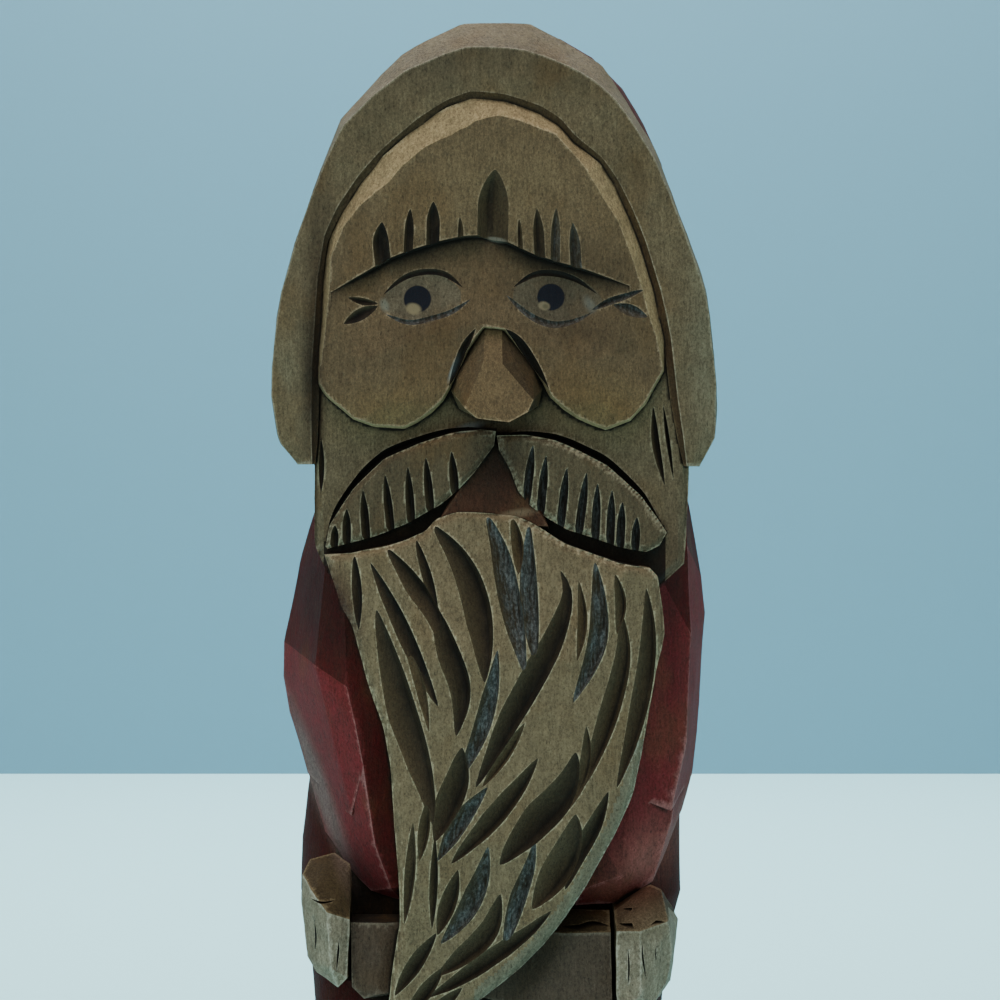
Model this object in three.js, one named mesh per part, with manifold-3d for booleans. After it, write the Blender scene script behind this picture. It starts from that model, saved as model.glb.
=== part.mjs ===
// A santa whittled from one block of linden wood: a fur-brimmed hood over a broad flat face,
// a ribbed moustache, a long beard of gouged locks that sweeps to one side, two sleeves with
// fur cuffs and mittens, a long coat with a fur hem, boots and a low base. It is one solid.
// Millimetres, +Z up. The figure looks along -Y and stands on the base's underside, whose
// centre is the origin.

import * as THREE from "three";
import { ConvexGeometry } from "three/addons/geometries/ConvexGeometry.js";
import { mergeVertices } from "three/addons/utils/BufferGeometryUtils.js";
import Module from "manifold-3d";

const wasm = await Module();
wasm.setup();

// Driving sizes
const FIGURE_HEIGHT = 293; // soles of the boots to the top of the hood
const FIGURE_WIDTH = 91.4; // across the two lobes of the fur brim
const FIGURE_DEPTH = 71.4; // back of the coat to the tip of the nose
const BASE_THICKNESS = 9;
const BASE_WIDTH = 86;
const BASE_DEPTH = 76;
const BASE_CORNER = 15; // radius of the base's corners, seen from above
const BASE_EDGE = 1.6; // chamfer around the base's top edge

// The figure is a free form, drawn as shares of its own size: every x, front and z below is
// read from one drawing, this tall, wide and deep, with z counted up from the soles.
const drawing = { height: 293, width: 91.4, depth: 71.4 };
const across = FIGURE_WIDTH / drawing.width;
const through = FIGURE_DEPTH / drawing.depth;
const upward = FIGURE_HEIGHT / drawing.height;

// A point of the drawing, x to the right, front towards the viewer and z up, at its real place.
const placed = (x, front, z) => [
  x * across,
  -front * through,
  BASE_THICKNESS + z * upward,
];

// Solids

// A closed solid from corners and triangles, turned right side out if need be.
function solid(corners, triangles) {
  const shape = new THREE.BufferGeometry();
  shape.setAttribute(
    "position",
    new THREE.Float32BufferAttribute(corners.flat(), 3),
  );
  shape.setIndex(triangles.flat());
  return solidOf(shape);
}

function solidOf(shape) {
  const bare = new THREE.BufferGeometry();
  bare.setAttribute("position", shape.getAttribute("position"));
  bare.setIndex(shape.getIndex());
  const merged = mergeVertices(bare, 1e-4);
  const made = manifoldOf(merged, false);
  return made.volume() < 0 ? manifoldOf(merged, true) : made;
}

function manifoldOf(merged, turned) {
  const triVerts = new Uint32Array(merged.index.array);
  for (let i = 0; turned && i < triVerts.length; i += 3) {
    [triVerts[i + 1], triVerts[i + 2]] = [triVerts[i + 2], triVerts[i + 1]];
  }
  const vertProperties = new Float32Array(merged.attributes.position.array);
  return new wasm.Manifold(
    new wasm.Mesh({ numProp: 3, vertProperties, triVerts }),
  );
}

// The triangles that fill a flat or nearly flat ring, counted from an index and all wound
// counter-clockwise in its own two coordinates.
function cap(flat, start) {
  const corners = flat.map(([u, v]) => new THREE.Vector2(u, v));
  const filled = THREE.ShapeUtils.triangulateShape(corners, []);
  return filled.map((t) => t.map((i) => i + start));
}

// A skin stretched over rings of equally many drawn points [x, front, z], closed at both ends.
// flatten gives the two coordinates in which an end ring is filled.
function loft(rings, flatten) {
  const count = rings[0].length;
  const corners = rings.flat().map((p) => placed(...p));
  const triangles = [];
  for (let r = 0; r + 1 < rings.length; r += 1) {
    for (let i = 0; i < count; i += 1) {
      const a = r * count + i;
      const b = r * count + ((i + 1) % count);
      triangles.push([a, b, a + count], [b, b + count, a + count]);
    }
  }
  const first = rings[0].map(flatten);
  const last = rings.at(-1).map(flatten);
  triangles.push(
    ...wound(cap(first, 0), -loopSign(first)),
    ...wound(cap(last, (rings.length - 1) * count), loopSign(last)),
  );
  return solid(corners, triangles);
}

const wound = (triangles, sign) =>
  triangles.map(([a, b, c]) => (sign > 0 ? [a, b, c] : [a, c, b]));

const loopSign = (flat) =>
  THREE.ShapeUtils.isClockWise(flat.map(([u, v]) => new THREE.Vector2(u, v)))
    ? -1
    : 1;

// The block with flat faces that drawn points [x, front, z] span.
const block = (points) =>
  solidOf(
    new ConvexGeometry(points.map((p) => new THREE.Vector3(...placed(...p)))),
  );

const joined = (solids) => solids.reduce((all, one) => all.add(one));
const without = (body, cuts) => cuts.reduce((left, cut) => left.subtract(cut), body);

// Lines of the drawing

// A smooth line through drawn points [x, z], as count + 1 points at even steps.
function smooth(points, count) {
  const line = new THREE.CatmullRomCurve3(
    points.map(([x, z]) => new THREE.Vector3(x, 0, z)),
    false,
    "centripetal",
  );
  return line.getSpacedPoints(count).map((p) => [p.x, p.z]);
}

// An arc about a centre, from one angle to another, in degrees counted from +X towards +Z.
function arc([x, z], radius, from, to, count) {
  return Array.from({ length: count + 1 }, (_, i) => {
    const angle = THREE.MathUtils.degToRad(from + ((to - from) * i) / count);
    return [x + radius * Math.cos(angle), z + radius * Math.sin(angle)];
  });
}

// The height at x of a line given by drawn points [x, z] in order of x.
function heightAt(line, x) {
  const i = line.findIndex((p, n) => n > 0 && p[0] >= x);
  if (i < 0) {
    return x < line[0][0] ? line[0][1] : line.at(-1)[1];
  }
  const [[x0, z0], [x1, z1]] = [line[i - 1], line[i]];
  return THREE.MathUtils.lerp(z0, z1, (x - x0) / (x1 - x0));
}

// A carved front is one or more flat planes, each given by how far forward it is at a point
// [x, z] and how it falls back from there to the right and upwards. The lowest plane counts.
const planeAt = ({ at, front, right = 0, up = 0 }, x, z) =>
  front - right * (x - at[0]) - up * (z - at[1]);

const surfaceOf = (planes) => (x, z) =>
  Math.min(...planes.map((plane) => planeAt(plane, x, z)));

const wasteAbove = 12; // how far rough layers stand in front of their planes

// What a plane cuts away: all that stands in front of it.
function above(plane) {
  const reach = 120;
  const [x, z] = plane.at;
  const corners = [
    [x - reach, z - reach],
    [x + reach, z - reach],
    [x + reach, z + reach],
    [x - reach, z + reach],
  ];
  return loft(
    [0, reach].map((rise) =>
      corners.map(([u, v]) => [u, planeAt(plane, u, v) + rise, v]),
    ),
    ([u, , v]) => [u, v],
  );
}

// A raised layer with a given outline, as cut with a knife held straight. Its wall rises from
// back to a drop below the planes, then leans inwards and meets them a bevel's width inside.
// The slope is drawn half as long again as it shows, and the planes cut it off.
function layer(outline, { back, planes, drop, bevel }) {
  const turn = loopSign(outline);
  const count = outline.length;
  const surface = surfaceOf(planes);
  const ring = (inset, rise) =>
    outline.map(([x, z], i) => {
      const [x0, z0] = outline[(i + count - 1) % count];
      const [x1, z1] = outline[(i + 1) % count];
      const width = (turn * inset * bevel(x, z)) / Math.hypot(x1 - x0, z1 - z0);
      return [x - (z1 - z0) * width, surface(x, z) + rise, z + (x1 - x0) * width];
    });
  const rough = loft(
    [
      outline.map(([x, z]) => [x, back, z]),
      ring(0, -drop),
      ring(1.5, drop / 2),
      ring(1.5, wasteAbove),
    ],
    ([x, , z]) => [x, z],
  );
  return without(rough, planes.map(above));
}

// One pass of a V tool along drawn points [x, z], over a surface. It enters and leaves at a
// point and is widest and deepest between, nearer its end where lean is over 1. The tool's
// section stands clear of the surface, so that the cut opens cleanly. Side -1 cuts the back.
function gouge(points, { width, depth, surface, steps = 8, lean = 1, side = 1 }) {
  const line = smooth(points, steps);
  const clear = depth * 0.35;
  const slope = width / 2 / depth;
  const corners = [];
  for (let i = 1; i < steps; i += 1) {
    const [x, z] = line[i];
    const [x0, z0] = line[i - 1];
    const [x1, z1] = line[i + 1];
    const length = Math.hypot(x1 - x0, z1 - z0);
    const sunk = (depth + clear) * Math.sin(Math.PI * (i / steps) ** lean) ** 0.7;
    const half = (slope * sunk) / length;
    const top = surface(x, z) + clear;
    corners.push(
      placed(x - (z1 - z0) * half, side * top, z + (x1 - x0) * half),
      placed(x + (z1 - z0) * half, side * top, z - (x1 - x0) * half),
      placed(x, side * (top - sunk), z),
    );
  }
  const [start, end] = [line[0], line.at(-1)].map(([x, z]) =>
    placed(x, side * (surface(x, z) + clear), z),
  );
  const triangles = [];
  const rings = steps - 1;
  for (let r = 0; r + 1 < rings; r += 1) {
    for (let i = 0; i < 3; i += 1) {
      const a = r * 3 + i;
      const b = r * 3 + ((i + 1) % 3);
      triangles.push([a, b, a + 3], [b, b + 3, a + 3]);
    }
  }
  const first = corners.length;
  const final = (rings - 1) * 3;
  for (let i = 0; i < 3; i += 1) {
    const next = (i + 1) % 3;
    triangles.push([i, first, next], [final + i, final + next, first + 1]);
  }
  return solid([...corners, start, end], triangles);
}

// A level ring of the coat, hood or hem: a squarish oval from left to right and back to front.
const ringShape = { corners: 28, power: 3 };

function oval(z, left, right, front, back) {
  return Array.from({ length: ringShape.corners }, (_, i) => {
    const angle = (2 * Math.PI * (i + 0.5)) / ringShape.corners;
    const bend = (v) => Math.sign(v) * Math.abs(v) ** (2 / ringShape.power);
    return [
      (left + right) / 2 + ((right - left) / 2) * bend(Math.cos(angle)),
      (front + back) / 2 + ((front - back) / 2) * bend(Math.sin(angle)),
      z,
    ];
  });
}

const stack = (rings) => loft(rings.map((r) => oval(...r)), ([x, front]) => [x, front]);

// Base, boots, hem and coat

function base() {
  const half = { x: BASE_WIDTH / 2 - BASE_EDGE, y: BASE_DEPTH / 2 - BASE_EDGE };
  const corner = BASE_CORNER - BASE_EDGE;
  const plan = new THREE.Shape();
  plan.moveTo(-half.x + corner, -half.y);
  plan.lineTo(half.x - corner, -half.y);
  plan.absarc(half.x - corner, -half.y + corner, corner, -Math.PI / 2, 0);
  plan.absarc(half.x - corner, half.y - corner, corner, 0, Math.PI / 2);
  plan.absarc(-half.x + corner, half.y - corner, corner, Math.PI / 2, Math.PI);
  plan.absarc(-half.x + corner, -half.y + corner, corner, Math.PI, 1.5 * Math.PI);
  const slab = new THREE.ExtrudeGeometry(plan, {
    depth: BASE_THICKNESS - 2 * BASE_EDGE,
    bevelThickness: BASE_EDGE,
    bevelSize: BASE_EDGE,
    bevelSegments: 1,
    curveSegments: 4,
  });
  slab.translate(0, 0, BASE_EDGE);
  slab.deleteAttribute("normal");
  slab.deleteAttribute("uv");
  return solidOf(mergeVertices(slab, 1e-4));
}

// One boot, side -1 or 1, from the heel under the coat to a blunt lifted toe. It is sunk a
// little into the base, so that the two stay one piece.
function boot(side) {
  const sunk = -2;
  const inner = 2.2 * side;
  const outer = 26 * side;
  return block([
    [inner, -12, sunk],
    [outer, -12, sunk],
    [inner, -12, 20],
    [outer, -12, 20],
    [inner + 1.5 * side, 33, sunk],
    [outer - 4 * side, 32, sunk],
    [inner + 6 * side, 36.5, sunk],
    [outer - 9 * side, 36, sunk],
    [inner + 6 * side, 36.5, 4],
    [outer - 9 * side, 36, 4],
    [inner + 1 * side, 32, 6],
    [outer - 2 * side, 28, 6],
    [inner + 6 * side, 31, 11],
    [outer - 8 * side, 30, 11],
    [inner + 3 * side, 22, 15.5],
    [outer - 4 * side, 20, 15.5],
  ]);
}

const hem = () =>
  stack([
    [14, -38.5, 38, 32, -31],
    [17, -42, 41.5, 35.5, -34],
    [23, -42.6, 42, 36, -34.4],
    [29, -42, 41.4, 35.4, -34],
    [33, -38.5, 38, 32, -30.5],
  ]);

const coat = () =>
  stack([
    [-2, -31, 31, 22, -24],
    [16, -32, 32, 23, -25],
    [22, -39, 38.5, 31.5, -31],
    [34, -39.2, 38.4, 31.4, -31],
    [52, -38.4, 37.2, 30, -30.6],
    [74, -37.8, 36, 28.4, -30.6],
    [90, -37.6, 35.5, 26.6, -31],
    [97, -38.2, 36.2, 23, -31.4],
    [101, -38.6, 37, 14, -31.6],
    [112, -39.9, 38.4, 13, -32.2],
    [123, -39.9, 38.5, 13, -32.6],
    [137, -38.6, 38.4, 15, -33],
    [160, -38.6, 39.4, 18, -33],
    [178, -37.6, 40, 19, -32],
    [190, -36.8, 39.6, 20, -29.6],
    [202, -35.4, 37.8, 21, -25],
  ]);

// Shallow folds down the skirt, in front and behind, each cut upwards from the hem.
// Each set lies at given places across, up to a top that staggers from fold to fold.
const foldSets = [
  { places: [-29, -17, -5, 8, 20, 30], side: 1, top: 78, stagger: 5, fall: 0.06 },
  { places: [-26, -13, 1, 14, 27], side: -1, top: 112, stagger: 14, fall: 0.01 },
];

function folds() {
  const low = 36;
  return foldSets.flatMap(({ places, side, top, stagger, fall }) =>
    places.map((x, i) =>
      gouge(
        [
          [x * 1.04, low + 2 * (i % 2)],
          [x, (low + top) / 2],
          [x * 0.86, top + stagger * (i % 3)],
        ],
        {
          width: 4.6,
          depth: 1.4,
          surface: (u, z) => 31.2 - 0.0045 * u * u - fall * (z - low),
          steps: 5,
          side,
        },
      ),
    ),
  );
}

// Arms

// Each sleeve is a lobe with a broad ridge, wide at the elbow and tapering to the beard.
const leftSleeve = () => [
  block([
    [-37, 4, 194],
    [-38.6, 2, 189],
    [-39.9, 2, 184],
    [-41.8, 1, 173],
    [-43.9, 1, 165.3],
    [-44.1, 1, 158.1],
    [-42.7, 1, 150.5],
    [-40.8, 2, 144.8],
    [-39, 3, 137.9],
    [-36.2, 20.5, 162],
    [-29.6, 24, 157.9],
    [-27.9, 24.6, 150.6],
    [-26.3, 24, 142],
    [-29, 19, 131],
    [-34, 17, 186],
    [-30.4, 21, 180],
    [-18, 22, 160],
    [-14, 20, 142],
    [-35, -16, 190],
    [-41.4, -15, 163],
    [-39, -14, 144],
    [-20, -10, 130],
    [-14, -10, 180],
  ]),
  block([
    [-42.5, 1, 150.5],
    [-38.9, 2, 137.9],
    [-37.3, 4, 132.4],
    [-35.2, 6, 126.1],
    [-30.4, 9, 119.1],
    [-25.3, 12, 114.5],
    [-19, 13, 112.6],
    [-27.6, 24, 150],
    [-26.3, 24, 142],
    [-24, 22.4, 125.5],
    [-20.8, 19.6, 116.1],
    [-31.4, 18, 140],
    [-30, 15, 125],
    [-14, 19, 118],
    [-14, 20, 142],
    [-38, -12, 146],
    [-20, -8, 122],
    [-14, -8, 150],
  ]),
];

const rightSleeve = () => [
  block([
    [39.6, 3, 199],
    [41.2, 2, 192],
    [42.3, 2, 185.4],
    [43.7, 1, 179.1],
    [44.4, 1, 171.4],
    [43.4, 1, 160.2],
    [42.8, 1, 146.3],
    [41.7, 2, 137.3],
    [40, 13, 186],
    [40.6, 15, 168],
    [39.6, 17, 146],
    [36.4, 18.4, 132],
    [31, 21.6, 150],
    [32, 20, 184],
    [16, 22, 140],
    [37, -15, 190],
    [42, -15, 166],
    [40.4, -14, 142],
    [18, -10, 130],
    [15, -10, 184],
  ]),
  block([
    [42.7, 1, 146.3],
    [41.6, 2, 137.3],
    [39.6, 4, 130.3],
    [36.6, 16, 129.4],
    [32.8, 15, 116.8],
    [25.8, 15, 112.3],
    [17, 15, 112],
    [38.6, 17.4, 146],
    [26, 20.4, 119],
    [17, 19, 115.5],
    [30, 21.4, 148],
    [14, 22, 140],
    [39.8, -12, 148],
    [18, -8, 122],
    [15, -8, 150],
  ]),
];

// The fur cuffs and the mittens meet in front of the body, under the beard.
const leftCuff = () =>
  block([
    [-38.5, 23.4, 111.2],
    [-37.8, 23.4, 103],
    [-35.5, 24.4, 99.8],
    [-31.4, 26.4, 97.2],
    [-29.4, 27.2, 99.2],
    [-29, 27.6, 111.2],
    [-33.4, 29.4, 112.9],
    [-32.6, 29, 101.4],
    [-36.6, 26.4, 116.7],
    [-38.9, 21, 119.4],
    [-37.6, 16.5, 121.8],
    [-32.6, 15.5, 123],
    [-29.4, 18, 121],
    [-28.9, 20, 118.1],
    [-30.8, 26, 114.5],
    [-29.2, 8, 98.6],
    [-38.4, 8, 101],
    [-40, 8, 112],
  ]);

const rightCuff = () =>
  block([
    [24.9, 27.4, 108.8],
    [33.2, 26.6, 109.8],
    [35.4, 25.4, 110.4],
    [36.4, 24, 103.7],
    [35.2, 24, 97.6],
    [31.6, 26.4, 92.6],
    [25.4, 27.4, 91.6],
    [24.9, 27.4, 96],
    [29.6, 28.8, 109],
    [29.8, 28.6, 96],
    [24.7, 21, 111.8],
    [32.4, 17.5, 116.7],
    [34.4, 17.5, 115.7],
    [35.8, 18.5, 112.2],
    [24.8, 8, 92],
    [37, 8, 95],
    [38.6, 8, 108],
    [24.8, 8, 112],
  ]);

const leftMitten = () =>
  block([
    [-28.9, 25.2, 110.2],
    [-21.7, 25.8, 110.2],
    [-18, 22.4, 110.4],
    [-28.6, 25, 97],
    [-26.2, 24.6, 94.5],
    [-23.6, 25.4, 95.5],
    [-18, 22.4, 97],
    [-28.9, 18, 113],
    [-19.3, 18, 112.7],
    [-28.9, 8, 96],
    [-8, 8, 96],
    [-8, 21, 110],
    [-8, 21, 97],
  ]);

const rightMitten = () =>
  block([
    [23.8, 25.4, 108.2],
    [15, 26.4, 108.2],
    [-4, 24, 109],
    [24.2, 25.2, 93.6],
    [20, 26, 92],
    [8, 26.8, 93],
    [-4, 24, 95],
    [23.8, 18, 111.5],
    [15, 18, 110.4],
    [-6, 12, 111],
    [24, 8, 93],
    [-6, 8, 94],
  ]);

// Hood

// The cloth of the hood, a dome that shows behind the brim and runs down into the collar.
const hood = () =>
  stack([
    [190, -31, 33.5, 14, -29],
    [199, -35.4, 37, 18, -30.6],
    [206, -40.6, 41.2, 18, -32.6],
    [217, -43, 43.2, 18, -34],
    [229, -42.4, 42.6, 18, -34.2],
    [241, -40.6, 40.8, 18, -33.4],
    [252, -38.2, 38.2, 18, -31.4],
    [263, -34.2, 34.6, 17, -27.8],
    [273, -29.6, 30.2, 16, -23],
    [281, -23, 24.2, 16, -17.4],
    [286.5, -15.8, 17.2, 17, -12],
    [289.6, -7.6, 9, 12, -6],
  ]);

// The fur brim is a roll that follows an arch over the face and ends in a lobe on each side.
const brim = {
  outer: [
    [-39.7, 203],
    [-43.6, 207.4],
    [-45.5, 217],
    [-45, 227],
    [-43.4, 238],
    [-39.4, 250.9],
    [-31, 272.9],
    [-18.5, 286.4],
    [-4.7, 292.7],
    [6.9, 292.7],
    [22.1, 283.8],
    [33.2, 266.6],
    [43.7, 238],
    [45.8, 219],
    [45.4, 208.4],
    [41.9, 202.6],
  ],
  inner: [
    [-35.9, 203.1],
    [-35.8, 230],
    [-33.5, 248.9],
    [-28.3, 259.7],
    [-16.9, 270.5],
    [-5.2, 276.9],
    [5.6, 275.3],
    [18.5, 268.1],
    [26.7, 255.3],
    [33.8, 236.1],
    [36.8, 216],
    [38.7, 202.7],
  ],
};

// The roll's section at a height: shares of the way from the inner line to the outer one, and
// how far forward it is there. The edge between its two facets moves out towards the lobes.
function brimSection(z) {
  const side = THREE.MathUtils.clamp((278 - z) / 60, 0, 1);
  const edge = THREE.MathUtils.lerp(0.62, 0.9, side);
  return [
    [-0.12, 0],
    [-0.12, 22],
    [0.03, 25],
    [0.12, 27.6],
    [edge, 28.2 - 2.6 * side],
    [0.97, 21 - 2 * side],
    [1, 13],
    [0.985, 2],
  ];
}

function furBrim() {
  const stations = 34;
  const outer = smooth(brim.outer, stations);
  const inner = smooth(brim.inner, stations);
  const rings = outer.map(([x1, z1], i) => {
    const [x0, z0] = inner[i];
    return brimSection(z1).map(([share, front]) => [
      THREE.MathUtils.lerp(x0, x1, share),
      front,
      THREE.MathUtils.lerp(z0, z1, share),
    ]);
  });
  return loft(rings, ([x, front]) => [x, front]);
}

// Face

const face = {
  leftCheek: { centre: [-21.1, 224.4], radius: 14.2 },
  rightCheek: { centre: [21.4, 223.6], radius: 13.6 },
  noseTop: [-0.4, 231],
  brow: [
    [-32.5, 237.9],
    [-24.3, 242.3],
    [-16.8, 245.5],
    [-7.8, 248.1],
    [-1.4, 248.7],
    [2.4, 247.5],
    [8.8, 245.5],
    [17.8, 242.7],
    [23.4, 240.5],
    [28, 239.1],
  ],
};

// The face is a flat plate that leans back a little and falls away towards both sides.
const facePlanes = [
  { at: [0, 228], front: 31, up: 0.03 },
  { at: [-21, 228], front: 31, right: -0.16, up: 0.03 },
  { at: [21, 228], front: 31, right: 0.16, up: 0.03 },
];
const facePlate = surfaceOf(facePlanes);

function faceSolid() {
  const { leftCheek, rightCheek, noseTop } = face;
  const arch = smooth(brim.inner, 26)
    .filter(([, z]) => z > leftCheek.centre[1] + 3)
    .map(([x, z]) => [x * 0.985, z - 0.3]);
  const outline = [
    ...arch,
    ...arc(rightCheek.centre, rightCheek.radius, 8, -186, 12),
    noseTop,
    ...arc(leftCheek.centre, leftCheek.radius, 2, -184, 12),
  ];
  const plate = layer(outline, {
    back: 4,
    planes: facePlanes,
    drop: 2.6,
    bevel: (x, z) => THREE.MathUtils.clamp(0.12 * (z - 217), 0.6, 3.1),
  });
  return plate.subtract(browCut());
}

// Under the brow the wood is cut back, most at the brow's lower edge, less towards the
// temples, and not at all a reach further down on the cheeks.
const browSet = { depth: 2.9, reach: 21, fade: 9 };

const browDepth = (x) => {
  const [first, last] = [face.brow[0][0], face.brow.at(-1)[0]];
  const inside = Math.min(x - first, last - x) / browSet.fade;
  return browSet.depth * THREE.MathUtils.clamp(inside, 0.06, 1);
};

function browCut() {
  const line = smooth(face.brow, 14);
  const rings = line.map(([x, z]) => {
    const ground = facePlate(x, z);
    return [
      [x, ground - browDepth(x), z],
      [x, ground + 1.2, z - browSet.reach],
      [x, ground + 9, z - browSet.reach],
      [x, ground + 9, z + 1.5],
    ];
  });
  return loft(rings, ([, front, z]) => [front, z]);
}

// Where the surface of the eyes' ground lies, below the brow.
const eyeGround = (x, z) => {
  const under = heightAt(face.brow, x) - z;
  const share = THREE.MathUtils.clamp(1 - under / browSet.reach, 0, 1);
  return facePlate(x, z) - browDepth(x) * share;
};

// An eye is two lid cuts that meet at the corners, with two chip cuts fanning from the outer one.
const eyes = [
  {
    inner: [-4.6, 236.4],
    outer: [-23.2, 235],
    top: 240.8,
    bottom: 232,
    middle: -13.6,
    creases: [
      [-29.4, 236.6],
      [-30.2, 231],
    ],
  },
  {
    inner: [2.8, 237.2],
    outer: [22.6, 235.4],
    top: 240.8,
    bottom: 231.4,
    middle: 11.8,
    creases: [
      [30.2, 238.2],
      [31, 232.6],
    ],
  },
];

function eyeCuts({ inner, outer, top, bottom, middle, creases }) {
  const lid = { width: 1.5, depth: 0.9, surface: eyeGround, steps: 8 };
  const crease = { width: 1.9, depth: 1.1, surface: eyeGround, steps: 4 };
  return [
    gouge([inner, [middle, top], outer], lid),
    gouge([inner, [middle, bottom], outer], lid),
    ...creases.map((end) => gouge([outer, end], crease)),
  ];
}

// Notches of the V tool stand in rows on the brow, and one broad one marks its middle.
const notches = [
  { top: [-22.3, 252], foot: [-22.3, 243.1], width: 1.9 },
  { top: [-16.6, 254.7], foot: [-16.6, 245.4], width: 1.4 },
  { top: [-12, 255.9], foot: [-12, 246.8], width: 2.1 },
  { top: [0.8, 262.8], foot: [0.8, 247.6], width: 4.8 },
  { top: [8.8, 254.4], foot: [8.8, 245.4], width: 1.7 },
  { top: [12.2, 254.1], foot: [12.2, 244.4], width: 1.5 },
  { top: [15.6, 251.6], foot: [16, 243.2], width: 1.7 },
];

const browNotches = () =>
  notches.map(({ top, foot, width }) =>
    gouge([top, foot], {
      width,
      depth: 0.55 * width,
      surface: facePlate,
      steps: 5,
    }),
  );

const nose = () =>
  block([
    [-0.3, 29, 231],
    [-2, 33.4, 223],
    [1.8, 33.4, 222.8],
    [-5.8, 36.4, 215.4],
    [-4.6, 36.6, 213.2],
    [3, 37, 211.7],
    [6.1, 36.4, 213],
    [7.6, 35.6, 215.4],
    [-8.6, 29, 218.4],
    [-6.6, 28, 214.6],
    [9.2, 28.6, 215.4],
    [8.2, 29, 219.6],
    [0, 24, 212.6],
    [-7, 20, 217],
    [8, 20, 217],
    [0, 20, 229],
  ]);

// Long cuts part the nose from the cheeks, and short ones part the hair from the brim.
const noseCuts = () =>
  [
    [
      [-2.2, 232],
      [-5.2, 225.4],
      [-8.6, 218],
      [-13.4, 212.4],
    ],
    [
      [1.4, 231.6],
      [6.2, 225.6],
      [10, 218.6],
      [13.6, 213],
    ],
  ].map((line) =>
    gouge(line, { width: 3.4, depth: 3, surface: facePlate, steps: 8 }),
  );

// Hair, moustache and mouth

// The hair is the ground on both sides of the moustache, under the cheeks and the brim.
const hairPlanes = [{ at: [0, 200], front: 26.6 }];
const hairGround = surfaceOf(hairPlanes);

const hair = () =>
  layer(
    [
      [-36, 226],
      [-36, 187],
      [-33, 180],
      [33, 178],
      [38.6, 183],
      [39.6, 202],
      [37, 226],
    ],
    { back: 0, planes: hairPlanes, drop: 3, bevel: () => 1.6 },
  );

// Each half of the moustache lies between an upper and a lower line, and ribs run down it.
const moustache = [
  {
    upper: [
      [-33.4, 186.4],
      [-32.8, 190.8],
      [-28.2, 197.4],
      [-21.8, 203.6],
      [-16.8, 206.8],
      [-10.8, 208.8],
      [-6.4, 209.6],
      [-1, 210.4],
    ],
    lower: [
      [-0.8, 205.2],
      [-3.6, 201.8],
      [-6.4, 198.6],
      [-12.4, 194.2],
      [-18.2, 190.8],
      [-26.4, 188.6],
      [-31.4, 187],
    ],
    ribs: [-31.8, -29.4, -26.2, -21.8, -17.2, -13.6, -8.4],
    lean: -1,
  },
  {
    upper: [
      [2, 208.6],
      [8.2, 208.4],
      [12.6, 207.6],
      [17.2, 206],
      [21.8, 203.4],
      [25.6, 200],
      [29.6, 196.4],
      [32.6, 192.2],
      [34.8, 189],
    ],
    lower: [
      [34.2, 184.8],
      [31, 185.4],
      [26.4, 186.6],
      [21.8, 187.8],
      [17.2, 189.4],
      [12.6, 191.6],
      [9, 194],
      [5.4, 197.6],
      [3, 202],
      [1.6, 206],
    ],
    ribs: [8, 10.6, 14.8, 18.4, 20.8, 23.4, 25.8, 28.8],
    lean: 1,
  },
];

// The moustache stands proud of the hair at its middle and sinks towards both ends.
const moustachePlanes = [
  { at: [0, 198], front: 31.6, right: -0.085 },
  { at: [0, 198], front: 31.6, right: 0.085 },
];
const moustacheFace = surfaceOf(moustachePlanes);

function moustacheHalf({ upper, lower, ribs, lean }) {
  const outline = [...smooth(upper, 12), ...smooth(lower, 12)];
  const form = layer(outline, {
    back: 20,
    planes: moustachePlanes,
    drop: 0.9,
    bevel: () => 0.8,
  });
  const low = [...lower].sort((a, b) => a[0] - b[0]);
  const high = [...upper].sort((a, b) => a[0] - b[0]);
  const cuts = ribs.map((x) =>
    gouge(
      [
        [x, heightAt(high, x) - 1.9],
        [x - lean, heightAt(low, x - lean) - 0.6],
      ],
      { width: 1.7, depth: 1.5, surface: moustacheFace, steps: 5, lean: 1.3 },
    ),
  );
  return without(form, cuts);
}

// The hair is lowered along the moustache's upper edge, and hair strands are cut beside it.
function hairCuts() {
  const along = ({ upper }) =>
    gouge(
      upper.map(([x, z]) => [x, z + 1]),
      { width: 3.4, depth: 2.6, surface: hairGround, steps: 14 },
    );
  const strand = { width: 1.6, depth: 1.6, surface: hairGround, steps: 6 };
  return [
    ...moustache.map(along),
    gouge(
      [
        [-34.6, 207],
        [-34.6, 195],
      ],
      strand,
    ),
    gouge(
      [
        [32.3, 213],
        [34.8, 191],
      ],
      strand,
    ),
    gouge(
      [
        [36.6, 214],
        [38, 201],
      ],
      { ...strand, width: 1.2 },
    ),
  ];
}

// Between the halves of the moustache the lower lip shows, set back above the beard.
const mouth = () =>
  block([
    [0, 27.6, 208],
    [-8.6, 28.6, 196],
    [9, 28.6, 195.4],
    [-11, 30.6, 191.6],
    [11, 30.6, 190.8],
    [0, 20, 208],
    [-12, 20, 188],
    [12, 20, 188],
  ]);

// Beard

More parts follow.
